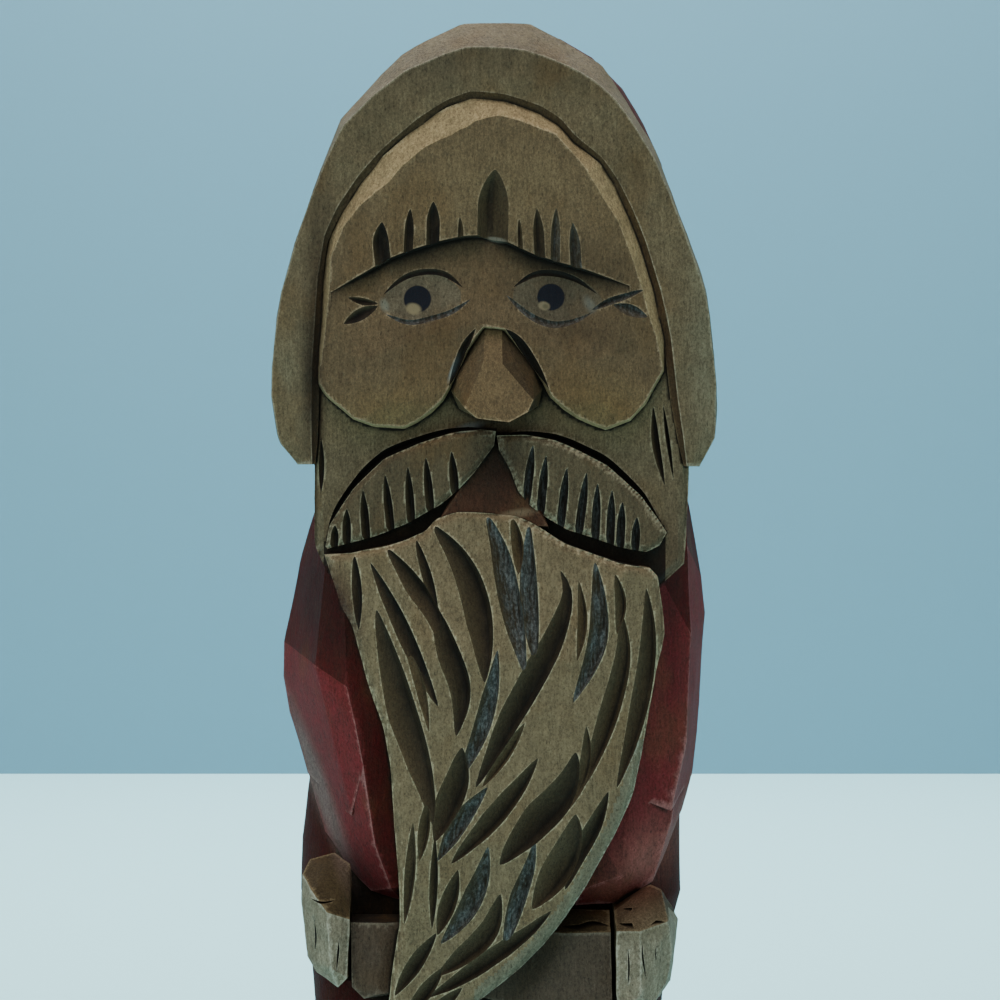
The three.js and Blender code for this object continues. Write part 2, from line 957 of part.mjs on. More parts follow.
const beard = {
  left: [
    [-31.8, 185.6],
    [-34.4, 184],
    [-32, 178.2],
    [-29.4, 172.2],
    [-27, 166],
    [-24, 156.8],
    [-21.8, 150.1],
    [-20.4, 141],
    [-19.5, 126.8],
    [-18.7, 110.1],
    [-19.5, 104.8],
    [-20.5, 98.8],
    [-21.5, 91.5],
    [-22, 85.4],
  ],
  right: [
    [-19.5, 84.4],
    [-14.7, 87.9],
    [-7, 93],
    [-0.8, 97.6],
    [9.8, 106],
    [17.9, 116.1],
    [23.7, 127.6],
    [28.7, 138.3],
    [32.4, 153.6],
    [34.4, 166],
    [34.4, 175.4],
    [34, 180.4],
    [32.4, 183],
  ],
  top: [
    [21.4, 185.8],
    [10.4, 190.6],
    [5.4, 193.8],
    [-2.6, 194],
    [-10.6, 191.8],
    [-20.6, 189],
    [-28, 187],
  ],
};

// The beard's front is whittled in broad planes around a flat middle.
const beardPlanes = [
  { at: [0, 150], front: 35.6 },
  { at: [0, 164], front: 35.6, up: 0.15 },
  { at: [0, 128], front: 35.6, up: -0.1 },
  { at: [-13, 150], front: 35.6, right: -0.3, up: 0.02 },
  { at: [17, 150], front: 35.6, right: 0.22, up: 0.02 },
  { at: [12, 125], front: 35.6, right: 0.16, up: -0.16 },
];
const beardFace = surfaceOf(beardPlanes);

// Locks are parted by single passes of the tool. A family of locks fans from its first pass
// to its last one, each pass running from a root through a bend to a tip.
const lockFamilies = [
  {
    count: 2,
    first: { root: [-28.4, 184], bend: [-27.7, 176.2], tip: [-27.7, 168.4], width: 1.8 },
    last: { root: [-23.9, 182.4], bend: [-14.6, 163.1], tip: [-10.4, 154.5], width: 2.6 },
  },
  {
    count: 3,
    first: { root: [-21.3, 185.6], bend: [-11.3, 169.8], tip: [-7.8, 149.3], width: 4 },
    last: { root: [-2.2, 193], bend: [2.4, 178.4], tip: [6.2, 160.9], width: 4.2 },
  },
  {
    count: 1,
    first: { root: [-16.1, 187], bend: [-13.1, 179.8], tip: [-10.7, 172.4], width: 1.6 },
  },
  {
    count: 3,
    first: { root: [7.2, 191], bend: [7, 173.6], tip: [8.4, 160.9], width: 2.8 },
    last: { root: [19.9, 184.2], bend: [19.7, 166.5], tip: [15.3, 154.5], width: 2.8 },
  },
  {
    count: 2,
    first: { root: [24.9, 175.6], bend: [22.9, 153], tip: [16.4, 136.7], width: 2.4 },
    last: { root: [30.3, 176.4], bend: [29.4, 153], tip: [24.9, 139.7], width: 3 },
  },
  {
    count: 1,
    first: { root: [-23.3, 169.8], bend: [-17, 149], tip: [-14.2, 136.7], width: 4.4 },
  },
  {
    count: 2,
    first: { root: [0.8, 166.8], bend: [-1.6, 153.9], tip: [-5.4, 141.7], width: 2.4 },
    last: { root: [13.7, 166.4], bend: [5.8, 152.5], tip: [-2.8, 139.3], width: 2.8 },
  },
  {
    count: 3,
    first: { root: [-6.2, 145.3], bend: [-8, 138.3], tip: [-12.2, 128.7], width: 4 },
    last: { root: [8.4, 144.5], bend: [-0.8, 131.9], tip: [-9.4, 122], width: 2.8 },
  },
  {
    count: 2,
    first: { root: [15.8, 147.9], bend: [11, 135.7], tip: [0.4, 122], width: 4.8 },
    last: { root: [23.3, 138.7], bend: [19.4, 128.1], tip: [14, 117.4], width: 2.8 },
  },
  {
    count: 2,
    first: { root: [15, 130.7], bend: [12, 121.6], tip: [7.8, 113.4], width: 3.6 },
    last: { root: [8.4, 128.7], bend: [6, 117.6], tip: [1.2, 105.4], width: 2.4 },
  },
  {
    count: 3,
    first: { root: [-14.2, 120.6], bend: [-13.2, 115], tip: [-12.2, 109.4], width: 2 },
    last: { root: [-1.6, 126.7], bend: [-6.2, 113.4], tip: [-12.2, 99.4], width: 2.8 },
  },
  {
    count: 2,
    first: { root: [1.2, 118], bend: [-3.6, 107.4], tip: [-11.8, 99], width: 3.2 },
    last: { root: [11, 112.4], bend: [1.4, 103.4], tip: [-6.4, 97], width: 2.8 },
  },
  {
    count: 3,
    first: { root: [-13.2, 107], bend: [-16, 101.8], tip: [-19, 96], width: 2.2 },
    last: { root: [-6, 98.6], bend: [-12.6, 92.8], tip: [-18.6, 87.4], width: 2.6 },
  },
];

function lockCuts() {
  const between = (a, b, share) => [
    THREE.MathUtils.lerp(a[0], b[0], share),
    THREE.MathUtils.lerp(a[1], b[1], share),
  ];
  return lockFamilies.flatMap(({ count, first, last = first }) =>
    Array.from({ length: count }, (_, i) => {
      const share = count > 1 ? i / (count - 1) : 0;
      const width = THREE.MathUtils.lerp(first.width, last.width, share);
      return gouge(
        ["root", "bend", "tip"].map((k) => between(first[k], last[k], share)),
        { width, depth: 0.5 * width + 0.5, surface: beardFace, steps: 7 },
      );
    }),
  );
}

function beardSolid() {
  const outline = [
    ...smooth(beard.left, 22),
    ...smooth(beard.right, 22),
    ...smooth(beard.top, 8),
  ];
  const slab = layer(outline, {
    back: 12,
    planes: beardPlanes,
    drop: 1,
    bevel: () => 1.1,
  });
  return without(slab, lockCuts());
}

// The whole figure

const bodyForms = [
  base(),
  boot(-1),
  boot(1),
  coat(),
  hem(),
  ...leftSleeve(),
  ...rightSleeve(),
  leftCuff(),
  rightCuff(),
  leftMitten(),
  rightMitten(),
  hood(),
  furBrim(),
];

const head = joined([
  without(faceSolid(), [...browNotches(), ...eyes.flatMap(eyeCuts), ...noseCuts()]),
  without(hair(), hairCuts()),
  nose(),
  mouth(),
  ...moustache.map(moustacheHalf),
]);

const carved = joined([
  without(joined(bodyForms), folds()),
  head,
  beardSolid(),
]);

function meshOf(body, name, material) {
  const { vertProperties, triVerts } = body.getMesh();
  const shape = new THREE.BufferGeometry();
  shape.setAttribute("position", new THREE.BufferAttribute(vertProperties, 3));
  shape.setIndex(new THREE.BufferAttribute(triVerts, 1));
  shape.computeVertexNormals();
  const mesh = new THREE.Mesh(shape, material);
  mesh.name = name;
  return mesh;
}

const wood = new THREE.MeshStandardMaterial({
  color: 0x8c7a5c,
  roughness: 0.62,
  metalness: 0,
  flatShading: true,
});

const santa = new THREE.Group();
santa.add(meshOf(carved, "carved_santa", wood));

export default santa;
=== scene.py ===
import itertools
import math

import bmesh
import bpy
import numpy as np
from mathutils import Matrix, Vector
from mathutils.geometry import tessellate_polygon


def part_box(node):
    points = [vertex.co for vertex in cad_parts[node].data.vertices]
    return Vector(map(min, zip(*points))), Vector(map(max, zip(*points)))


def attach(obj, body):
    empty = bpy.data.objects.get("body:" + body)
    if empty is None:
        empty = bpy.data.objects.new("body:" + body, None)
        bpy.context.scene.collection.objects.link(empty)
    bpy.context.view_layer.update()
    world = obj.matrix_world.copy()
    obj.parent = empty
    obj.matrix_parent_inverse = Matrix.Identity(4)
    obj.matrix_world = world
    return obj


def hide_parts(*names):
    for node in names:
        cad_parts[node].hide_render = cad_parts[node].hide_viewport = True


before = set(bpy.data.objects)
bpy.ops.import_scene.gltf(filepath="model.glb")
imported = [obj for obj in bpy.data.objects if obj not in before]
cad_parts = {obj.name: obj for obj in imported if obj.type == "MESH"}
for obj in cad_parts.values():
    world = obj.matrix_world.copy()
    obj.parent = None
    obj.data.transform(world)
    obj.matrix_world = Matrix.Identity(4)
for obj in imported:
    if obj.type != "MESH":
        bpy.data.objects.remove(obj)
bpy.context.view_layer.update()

# Everything is drawn in millimetres as [x, front, z]: x to the right, front towards the viewer
# and z up from the boots' soles. One factor, taken from the frame, brings the drawing to size.
drawing = {"height": 302.38, "base": 9.0}
nodeLow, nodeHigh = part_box("carved_santa")
mm = (nodeHigh.z - nodeLow.z) / drawing["height"]

# Finishes of the carving. paint is the colour laid on the wood and rubbed what shows where it is
# worn away and where edges are painted lighter as a highlight, both as they look in daylight
# (0 to 255); some rows hold painted light and shade, as marked. The rest are shares: how readily it
# wears, how much dark wax it holds together with the painted shade of its deep corners, how shiny it
# is, how much painted blue-grey sheen its cuts have and how free it is of brown patches (clean).
finishParts = ("paint", "rubbed", "wear", "waxAndShade", "gloss", "cutSheen", "clean")
finishRows = {
    # the fur's upper facet, painted lighter as lit from above
    "furTop": ((152, 137, 110), (192, 180, 152), 0.8, 0.7, 0.1),
    "furFront": ((142, 124, 95), (188, 176, 150), 0.9, 0.9, 0.1),
    "furSide": ((152, 144, 124), (200, 200, 188), 0.9, 0.8, 0.1),
    # painted shade: dark brown on the brim's lip and on the face's walls
    "paintedShadeBrown": ((88, 66, 44), (140, 118, 88), 0.5, 0.9, 0.1),
    "cap": ((104, 28, 34), (140, 90, 84), 0.7, 0.8, 0.1, 0, 0.6),
    "skin": ((134, 111, 82), (200, 176, 142), 0.7, 0.8, 0.2),
    "eyeball": ((128, 115, 93), (160, 148, 124), 0.5, 0.9, 0.3),
    "gold": ((216, 188, 142), (228, 206, 166), 0.9, 0.6, 0.2),
    "browCut": ((112, 94, 66), (156, 138, 108), 0.25, 0.9, 0.2),
    "lidCut": ((118, 106, 84), (160, 150, 124), 0.2, 0.8, 0.5, 0.6),
    "noseTip": ((142, 119, 86), (196, 172, 134), 0.9, 0.5, 0.2),
    "nose": ((112, 94, 68), (164, 144, 112), 0.8, 0.9, 0.2),
    # painted shade on the nose's right faces and in the cuts beside the nose
    "noseSide": ((82, 66, 44), (140, 120, 90), 0.5, 1.0, 0.2),
    "hair": ((138, 122, 94), (180, 166, 136), 0.8, 1.0, 0.2),
    "moustache": ((120, 104, 79), (192, 180, 150), 0.9, 1.0, 0.15),
    "beard": ((158, 138, 106), (208, 194, 160), 0.9, 0.8, 0.15),
    "beardPale": ((152, 146, 122), (194, 190, 168), 0.9, 0.5, 0.15),
    "darkCut": ((136, 116, 84), (162, 144, 108), 0.4, 0.7, 0.25),
    # the cuts with the most painted blue-grey sheen
    "sheenCut": ((104, 90, 62), (140, 128, 100), 0.4, 0.6, 0.6, 1.0),
    "ribCut": ((76, 64, 44), (130, 116, 88), 0.5, 0.8, 0.4, 0.5),
    # painted shadow: black under the moustache, at the beard's top, on the left mitten's top and in the
    # hollow between the cuffs
    "paintedShadowBlack": ((16, 13, 9), (40, 32, 22), 0.1, 1.0, 0.1),
    "mouth": ((90, 54, 38), (128, 96, 72), 0.6, 0.9, 0.2),
    # the sleeves' facets: painted shade on those that look up or towards the beard, painted lighter as lit on
    # the outer ones
    "sleeve": ((100, 8, 14), (150, 64, 64), 0.6, 0.8, 0.2),
    "sleeveLitSide": ((150, 46, 52), (190, 126, 122), 1.0, 0.7, 0.2),
    "coat": ((78, 8, 8), (116, 44, 36), 0.4, 0.9, 0.0, 0, 0.75),
    "cuff": ((180, 166, 142), (218, 208, 186), 0.8, 0.9, 0.1),
    "rawTop": ((92, 76, 50), (156, 138, 104), 0.9, 1.0, 0.05),
    "mitten": ((108, 90, 76), (144, 128, 110), 0.8, 0.7, 0.2),
    "boot": ((44, 38, 34), (104, 88, 68), 0.8, 0.6, 0.3),
    "base": ((112, 92, 64), (156, 134, 98), 0.9, 0.9, 0.2),
}
finishes = {name: dict(zip(finishParts, row)) for name, row in finishRows.items()}
zoneOf = {name: index for index, name in enumerate(finishes)}


def linear(colour):
    # a daylight colour, 0 to 255, as the linear one that a shader takes
    c = np.array(colour) / 255
    return np.where(c > 0.04045, ((c + 0.055) / 1.055) ** 2.4, c / 12.92)


def shade(*colour):
    # the same with its alpha, for a socket
    return (*linear(colour).tolist(), 1.0)


# Lines

def evenly(line, count):
    # count + 1 points at equal steps of length along a line of points
    step = np.linalg.norm(np.diff(line, axis=0), axis=1)
    along = np.concatenate([[0], np.cumsum(step)])
    at = np.linspace(0, along[-1], count + 1)
    return np.stack([np.interp(at, along, line[:, k]) for k in range(line.shape[1])], axis=1)


def smoothLine(points, count):
    # Centripetal Catmull-Rom: each stretch blends the quadratics through three neighbours, with
    # knots spaced by the root of the distance
    given = np.asarray(points, float)
    p = np.vstack([2 * given[0] - given[1], given, 2 * given[-1] - given[-2]])
    knots = np.concatenate([[0], np.cumsum(np.linalg.norm(np.diff(p, axis=0), axis=1) ** 0.5)])
    p0, p1, p2, p3 = (p[k:len(p) - 3 + k, None, :] for k in range(4))
    t0, t1, t2, t3 = (knots[k:len(p) - 3 + k, None, None] for k in range(4))
    t = t1 + (t2 - t1) * np.linspace(0, 1, 24, endpoint=False)[None, :, None]
    mix = lambda a, b, ta, tb: ((tb - t) * a + (t - ta) * b) / (tb - ta)
    a1, a2, a3 = mix(p0, p1, t0, t1), mix(p1, p2, t1, t2), mix(p2, p3, t2, t3)
    b1, b2 = mix(a1, a2, t0, t2), mix(a2, a3, t1, t3)
    line = mix(b1, b2, t1, t2).reshape(-1, given.shape[1])
    return evenly(np.vstack([line, given[-1]]), count)


def knifeLine(points, count, smooth=0.3):
    # a line whittled in straight stretches, its corners rounded by a share of the smooth one
    return (1 - smooth) * evenly(np.array(points, float), count) + smooth * smoothLine(points, count)


def heightAt(line, x):
    # z of a line of points at x
    ordered = sorted(line)
    return np.interp(x, [p[0] for p in ordered], [p[1] for p in ordered])


def frontOf(planes, x, z):
    # how far forward a carved front is: the lowest of its planes, each given at one point with
    # its fall to the right and upwards
    fronts = [
        p["front"] - p.get("right", 0) * (x - p["at"][0]) - p.get("up", 0) * (z - p["at"][1])
        for p in planes
    ]
    return np.minimum.reduce(fronts) + 0 * x


def edgeDistance(x, z, outline):
    # distance of each point to the nearest stretch of a closed line
    p = np.stack([x.ravel(), z.ravel()], axis=1)[:, None, :] - outline
    d = np.roll(outline, -1, axis=0) - outline
    t = np.clip((p * d).sum(-1) / (d * d).sum(-1), 0, 1)
    return np.sqrt(((p - t[..., None] * d) ** 2).sum(-1).min(axis=1)).reshape(x.shape)


# Knife marks

def hashed(cell, seed):
    # three repeatable random shares for each whole-numbered cell
    k = cell.astype(np.int64)
    n = (k[..., 0] * 73856093) ^ (k[..., 1] * 19349663) ^ (k[..., 2] * 83492791) ^ (seed * 40503)
    shares = []
    for _ in range(3):
        n = (n * 1103515245 + 12345) & 0x7FFFFFFF
        n = n ^ (n >> 13)
        shares.append((n & 0xFFFF) / 65535)
    return np.stack(shares, axis=-1)


def scoops(points, size, seed):
    # Squared distance to the nearest of the scattered centres, one in each box of the given
    # size: every cell is a shallow hollow, and neighbours meet in a ridge
    q = points / np.asarray(size, float)
    cell = np.floor(q)
    nearest = np.full(q.shape[:-1], 9.0)
    for step in itertools.product((-1, 0, 1), repeat=3):
        corner = cell + np.array(step)
        centre = corner + 0.1 + 0.8 * hashed(corner, seed)
        nearest = np.minimum(nearest, ((q - centre) ** 2).sum(axis=-1))
    return nearest - 0.3


# Closed forms. A form is its points [x, front, z], its triangles and a zone for each triangle.

def gridTriangles(rows, columns, wrap):
    # two triangles for each cell of a grid of points, whose columns may close on themselves
    r, c = np.meshgrid(np.arange(rows - 1), np.arange(columns - (not wrap)), indexing="ij")
    a = r * columns + c
    b = r * columns + (c + 1) % columns
    return np.stack([a, b, b + columns, a, b + columns, a + columns], axis=-1).reshape(-1, 3)


def cap(ring, flat, start, turn):
    # fills a ring in two of its coordinates, wound with (turn 1) or against (turn -1) the ring
    u, v = ring[:, flat[0]], ring[:, flat[1]]
    filled = np.array(tessellate_polygon([[Vector((a, b, 0)) for a, b in zip(u, v)]]))
    area = lambda a, b: (a * np.roll(b, -1, -1) - b * np.roll(a, -1, -1)).sum(-1)
    if area(u[filled], v[filled]).sum() * area(u, v) * turn < 0:
        filled = filled[:, ::-1]
    return filled + start


def loft(rings, zones, flat, capZones=None):
    # a skin over rings of equally many points, closed by a flat cap at both ends
    rows, columns, _ = rings.shape
    sides = gridTriangles(rows, columns, True)
    ends = [cap(rings[0], flat, 0, -1), cap(rings[-1], flat, (rows - 1) * columns, 1)]
    zones = np.broadcast_to(zones, (rows - 1, columns))
    first, last = capZones or (zones[0, 0], zones[-1, 0])
    return {
        "points": rings.reshape(-1, 3),
        "triangles": np.vstack([sides, *ends]),
        "zones": np.concatenate(
            [np.repeat(zones.ravel(), 2), np.full(len(ends[0]), first), np.full(len(ends[1]), last)]
        ),
    }


def frontBlock(x, front, z, back, zones):
    # a block whose front is a grid of points: its rim is carried straight back and filled
    rows, columns = x.shape
    grid = np.stack([x, front, z], axis=-1).reshape(-1, 3)
    index = np.arange(rows * columns).reshape(rows, columns)
    rim = np.concatenate([index[0, :-1], index[:-1, -1], index[-1, :0:-1], index[:0:-1, 0]])
    behind = grid[rim].copy()
    behind[:, 1] = back
    n, start = len(rim), len(grid)
    i, j = np.arange(n), (np.arange(n) + 1) % n
    walls = np.stack([rim[j], rim[i], start + i, rim[j], start + i, start + j], axis=-1).reshape(-1, 3)
    middle = start + n
    fan = np.stack([start + j, start + i, np.full(n, middle)], axis=-1)
    return {
        "points": np.vstack([grid, behind, [behind.mean(axis=0)]]),
        "triangles": np.vstack([gridTriangles(rows, columns, False), walls, fan]),
        "zones": np.concatenate([np.repeat(zones.ravel(), 2), np.full(3 * n, zones.ravel()[0])]),
    }


def finer(points, triangles, longest):
    # Every edge longer than longest is halved, again and again, and a triangle is split in two,
    # three or four by its halved edges
    while True:
        edges = np.sort(triangles[:, [0, 1, 1, 2, 2, 0]].reshape(-1, 2), axis=1)
        code, which = np.unique(edges[:, 0] * len(points) + edges[:, 1], return_inverse=True)
        one, other = code // len(points), code % len(points)
        split = np.linalg.norm(points[one] - points[other], axis=1) > longest
        if not split.any():
            return points, triangles
        middle = np.full(len(code), -1)
        middle[split] = len(points) + np.arange(split.sum())
        points = np.vstack([points, (points[one[split]] + points[other[split]]) / 2])
        halves = middle[which.reshape(-1, 3)]
        kind = ((halves >= 0) * (1, 2, 4)).sum(axis=1)
        turn = (np.arange(3) + np.array([0, 0, 1, 0, 2, 2, 1, 0])[kind][:, None]) % 3
        a, b, c = np.take_along_axis(triangles, turn, axis=1).T
        ab, bc, ca = np.take_along_axis(halves, turn, axis=1).T
        parts = [
            (kind == 0, [(a, b, c)]),
            ((kind == 1) | (kind == 2) | (kind == 4), [(a, ab, c), (ab, b, c)]),
            ((kind == 3) | (kind == 5) | (kind == 6), [(ab, b, bc), (a, ab, bc), (a, bc, c)]),
            (kind == 7, [(a, ab, ca), (ab, b, bc), (ca, bc, c), (ab, bc, ca)]),
        ]
        triangles = np.vstack([np.stack(t, axis=1)[chosen] for chosen, made in parts for t in made])


def normalsOf(points, triangles):
    # the face normals, and each point's normal as the sum of those around it
    corners = points[triangles]
    faces = np.cross(corners[:, 1] - corners[:, 0], corners[:, 2] - corners[:, 0])
    sums = np.stack(
        [np.bincount(triangles.ravel(), np.repeat(faces[:, k], 3), len(points)) for k in range(3)], axis=1
    )
    unit = lambda v: v / (np.linalg.norm(v, axis=1, keepdims=True) + 1e-12)
    return unit(faces), unit(sums)


upFacing = 0.35  # a face whose normal's z is more than this looks up


def finish(zone, top=None):
    # one finish, and another for faces that look up
    return lambda centre, normal: np.where(normal[:, 2] > upFacing, zoneOf[top or zone], zoneOf[zone])


# How the flat-faced blocks are cut: their longest edge, and the depth, size and seed of their marks
blocks = {
    "boot": {"longest": 3.2, "relief": 0.12, "size": (6, 6, 9), "seed": 5},
    "sleeve": {"longest": 2.8, "relief": 0.4, "size": (9, 9, 13), "seed": 11},
    "cuff": {"longest": 1.5, "relief": 0.4, "size": (4, 4, 6), "seed": 21},
    "mitten": {"longest": 2.0, "relief": 0.25, "size": (6, 6, 9), "seed": 31},
    "nose": {"longest": 0.8, "relief": 0.14, "size": (4, 4, 5), "seed": 71},
    "mouth": {"longest": 1.2, "relief": 0.15, "size": (4, 4, 4), "seed": 73},
}


def chunk(name, corners, zoneBy, number=0):
    # the block with flat faces that the corners span, split until no edge is longer than
    # longest, with shallow knife marks; zoneBy gives each face's finish
    c = blocks[name]
    bm = bmesh.new()
    for corner in corners:
        bm.verts.new(corner)
    bmesh.ops.convex_hull(bm, input=bm.verts)
    bmesh.ops.delete(bm, geom=[v for v in bm.verts if not v.link_faces], context="VERTS")
    bmesh.ops.triangulate(bm, faces=bm.faces)
    bm.verts.index_update()
    points = np.array([v.co for v in bm.verts])
    triangles = np.array([[v.index for v in f.verts] for f in bm.faces])
    bm.free()
    points, triangles = finer(points, triangles, c["longest"])
    faces, normals = normalsOf(points, triangles)
    outward = np.sign(((points - points.mean(axis=0)) * normals).sum())
    marks = scoops(points, c["size"], c["seed"] + number)
    moved = points + normals * (outward * c["relief"] * marks)[:, None]
    zones = zoneBy(points[triangles].mean(axis=1), faces * outward)
    return {"points": moved, "triangles": triangles, "zones": zones}


# Kinds of cut: where across it is deepest (-1 left, 1 right), the powers that shape its left and
# right slopes, whether it runs out at its foot, and how the dark fades away to the left: the stain
# of the cut, held full on the right wall as painted shade.
cutKinds = {
    "vee": {"deepest": 0.0, "left": (1.4, 1.0), "right": (1.4, 1.0), "open": False, "fade": 0.6},
    "flute": {"deepest": 0.5, "left": (1.7, 1.5), "right": (2.6, 1.0), "open": False, "fade": 0.9},
    "slot": {"deepest": 0.35, "left": (1.8, 1.0), "right": (3.0, 1.0), "open": True, "fade": 0.9},
    "notch": {"deepest": -0.2, "left": (2.0, 1.0), "right": (1.5, 1.2), "open": True, "fade": 0.5},
    "dish": {"deepest": 0.0, "left": (6.0, 1.0), "right": (6.0, 1.0), "open": False, "fade": 9.0},
}


def gouge(points, width, depth, surface, zone, kind="vee", dark=1.0, side=1, steps=24, across=10):
    # One pass of a tool along a line on a surface. It swells as the sine of the way along it, or
    # of the first half of the way if it runs out at its foot.
    k = cutKinds[kind]
    line = smoothLine(points, steps)
    t = np.linspace(0, 1, steps + 1)
    way = np.minimum(t, 0.5) if k["open"] else t
    swell = np.maximum(np.sin(np.pi * way), 0) ** 0.8 + 0.02
    clear = depth * 0.35
    sunk = (depth + clear) * swell
    half = width / 2 / depth * sunk
    ahead = np.gradient(line, axis=0)
    ahead /= np.linalg.norm(ahead, axis=1, keepdims=True)
    s = np.linspace(-1, 1, across)
    left = s < k["deepest"]
    bent = np.abs(s - k["deepest"]) / np.where(left, 1 + k["deepest"], 1 - k["deepest"])
    (p, q), (u, v) = k["left"], k["right"]
    section = np.where(left, (1 - bent ** p) ** q, (1 - bent ** u) ** v)
    # the cut's dark: stain fading out up the left wall, painted shade at full on the right wall
    stainAndShade = np.where(left, (1 - bent) ** k["fade"], 1.0)
    x = line[:, :1] - ahead[:, 1:] * half[:, None] * s
    z = line[:, 1:] + ahead[:, :1] * half[:, None] * s
    front = surface(x, z) + clear - sunk[:, None] * section
    rings = np.stack([x, side * front, z], axis=-1)
    rows = steps + 1
    fan = np.stack([np.zeros(across - 2, int), np.arange(1, across - 1), np.arange(2, across)], axis=-1)
    triangles = np.vstack([gridTriangles(rows, across, True), fan[:, ::-1], fan + (rows - 1) * across])
    return {
        "points": rings.reshape(-1, 3),
        "triangles": triangles,
        "zones": np.full(len(triangles), zoneOf[zone]),
        "stainAndShade": np.tile(dark * stainAndShade, rows),
    }


def meshOf(name, points, triangles):
    # loose arrays as a mesh
    mesh = bpy.data.meshes.new(name)
    mesh.vertices.add(len(points))
    mesh.vertices.foreach_set("co", points.ravel())
    mesh.loops.add(triangles.size)
    mesh.loops.foreach_set("vertex_index", triangles.ravel())
    mesh.polygons.add(len(triangles))
    mesh.polygons.foreach_set("loop_start", np.arange(0, triangles.size, 3))
    mesh.update(calc_edges=True)
    return mesh


def setValues(mesh, name, kind, domain, values):
    # a new attribute of a mesh, filled at once
    key = "color" if kind == "FLOAT_COLOR" else "value"
    mesh.attributes.new(name, kind, domain).data.foreach_set(key, values.ravel())


def placed(name, data):
    # a new object in the scene, unturned and at the origin
    piece = bpy.data.objects.new(name, data)
    bpy.context.scene.collection.objects.link(piece)
    return piece


def formObject(form):
    # a form as a mesh object, turned right side out by the sign of its volume
    if isinstance(form, bpy.types.Object):
        return form
    points = form["points"] * np.array([1, -1, 1])
    triangles = form["triangles"]
    corners = points[triangles]
    if np.einsum("ij,ij->", corners[:, 0], np.cross(corners[:, 1], corners[:, 2])) < 0:
        triangles = triangles[:, ::-1]
    mesh = meshOf("form", points, triangles)
    setValues(mesh, "zone", "INT", "FACE", form["zones"].astype(np.int32))
    stainAndShade = form["stainAndShade"][triangles.ravel()] if "stainAndShade" in form else np.zeros(triangles.size)
    setValues(mesh, "stainAndShade", "FLOAT", "CORNER", stainAndShade.astype(np.float32))
    return placed("form", mesh)


def combined(body, forms, operation):
    # body joined with, cut by or kept only inside other forms, by one Boolean modifier
    body = formObject(body)
    others = [formObject(form) for form in forms]
    tools = bpy.data.collections.new("tools")
    bpy.context.scene.collection.children.link(tools)
    for other in others:
        tools.objects.link(other)
    step = body.modifiers.new("step", "BOOLEAN")
    step.operand_type, step.collection = "COLLECTION", tools
    step.operation, step.solver = operation, "MANIFOLD"
    result = bpy.data.meshes.new_from_object(body.evaluated_get(bpy.context.evaluated_depsgraph_get()))
    body.modifiers.clear()
    body.data = result
    for other in others:
        bpy.data.objects.remove(other)
    bpy.data.collections.remove(tools)
    return body


def joined(forms):
    # the first form with all others added
    return combined(forms[0], forms[1:], "UNION")


def without(body, forms):
    # a body with all forms cut out of it
    return combined(body, forms, "DIFFERENCE")


layerSet = {
    "margin": 1.5,  # how far the block reaches past the outline
    "wallSteps": 8, "cutSteps": 5,  # points up a chamfered wall, and along its chamfer
    "overrun": 1.3,  # how far the chamfer runs on past the front, as a share of its width
    "clearCut": 8, "clear": 9,  # how far the wall ends in front of the front
    "wave": 0.22, "waveSize": (5, 7, 5),  # knife marks on the wall
    "even": 5,  # neighbours on each side over which the way inwards is averaged
}


def wallOf(outline, spec):
    # Level sections of a layer's wall, from its back to in front of its front. Each is the
    # outline, moved inwards where a chamfer leans over the front, and waved by knife marks.
    c = layerSet
    tangent = np.roll(outline, -1, axis=0) - np.roll(outline, 1, axis=0)
    tangent /= np.linalg.norm(tangent, axis=1, keepdims=True)
    ahead = np.roll(outline, -1, axis=0)
    spin = np.sign((outline[:, 0] * ahead[:, 1] - outline[:, 1] * ahead[:, 0]).sum())
    inward = spin * np.stack([-tangent[:, 1], tangent[:, 0]], axis=1)
    inward = sum(np.roll(inward, k, axis=0) for k in range(-c["even"], c["even"] + 1))
    inward /= np.linalg.norm(inward, axis=1, keepdims=True)
    surface = spec["front"](outline[:, 0], outline[:, 1])
    back, chamfer = spec["back"], spec.get("chamfer")
    if chamfer:
        width = chamfer["width"](outline[:, 0], outline[:, 1])
        rise = chamfer["drop"]
        wall = surface - rise
        stations = [(0, back + (wall - back) * k / c["wallSteps"]) for k in range(c["wallSteps"] + 1)]
        overrun, cuts = c["overrun"], c["cutSteps"]
        stations += [(overrun * k / cuts, wall + overrun * rise * k / cuts) for k in range(1, cuts + 1)]
        stations.append((overrun, surface + c["clearCut"]))
    else:
        width = np.zeros(len(outline))
        steps = spec.get("rows", 12)
        stations = [(0, back + (surface + 1 - back) * k / steps) for k in range(steps + 1)]
        stations.append((0, 0 * surface + surface.max() + c["clear"]))
    rows = []
    for inset, depth in stations:
        place = outline + inward * (inset * width)[:, None]
        rows.append(np.stack([place[:, 0], depth, place[:, 1]], axis=-1))
    rings = np.stack(rows)
    wavy = scoops(rings, c["waveSize"], spec["seed"] + 7) * c["wave"]
    rings[:, :, 0] -= wavy * inward[:, 0]
    rings[:, :, 2] -= wavy * inward[:, 1]
    zones = np.full((len(rows) - 1, len(outline)), zoneOf[spec.get("wallZone", spec["zone"])])
    # walls above that height are painted black as shadow
    if "darkAbove" in spec:
        zones[:, outline[:, 1] > spec["darkAbove"]] = zoneOf["paintedShadowBlack"]
    if chamfer:
        zones[c["wallSteps"]:] = zoneOf[chamfer["zone"]]
    return loft(rings, zones, (0, 2))


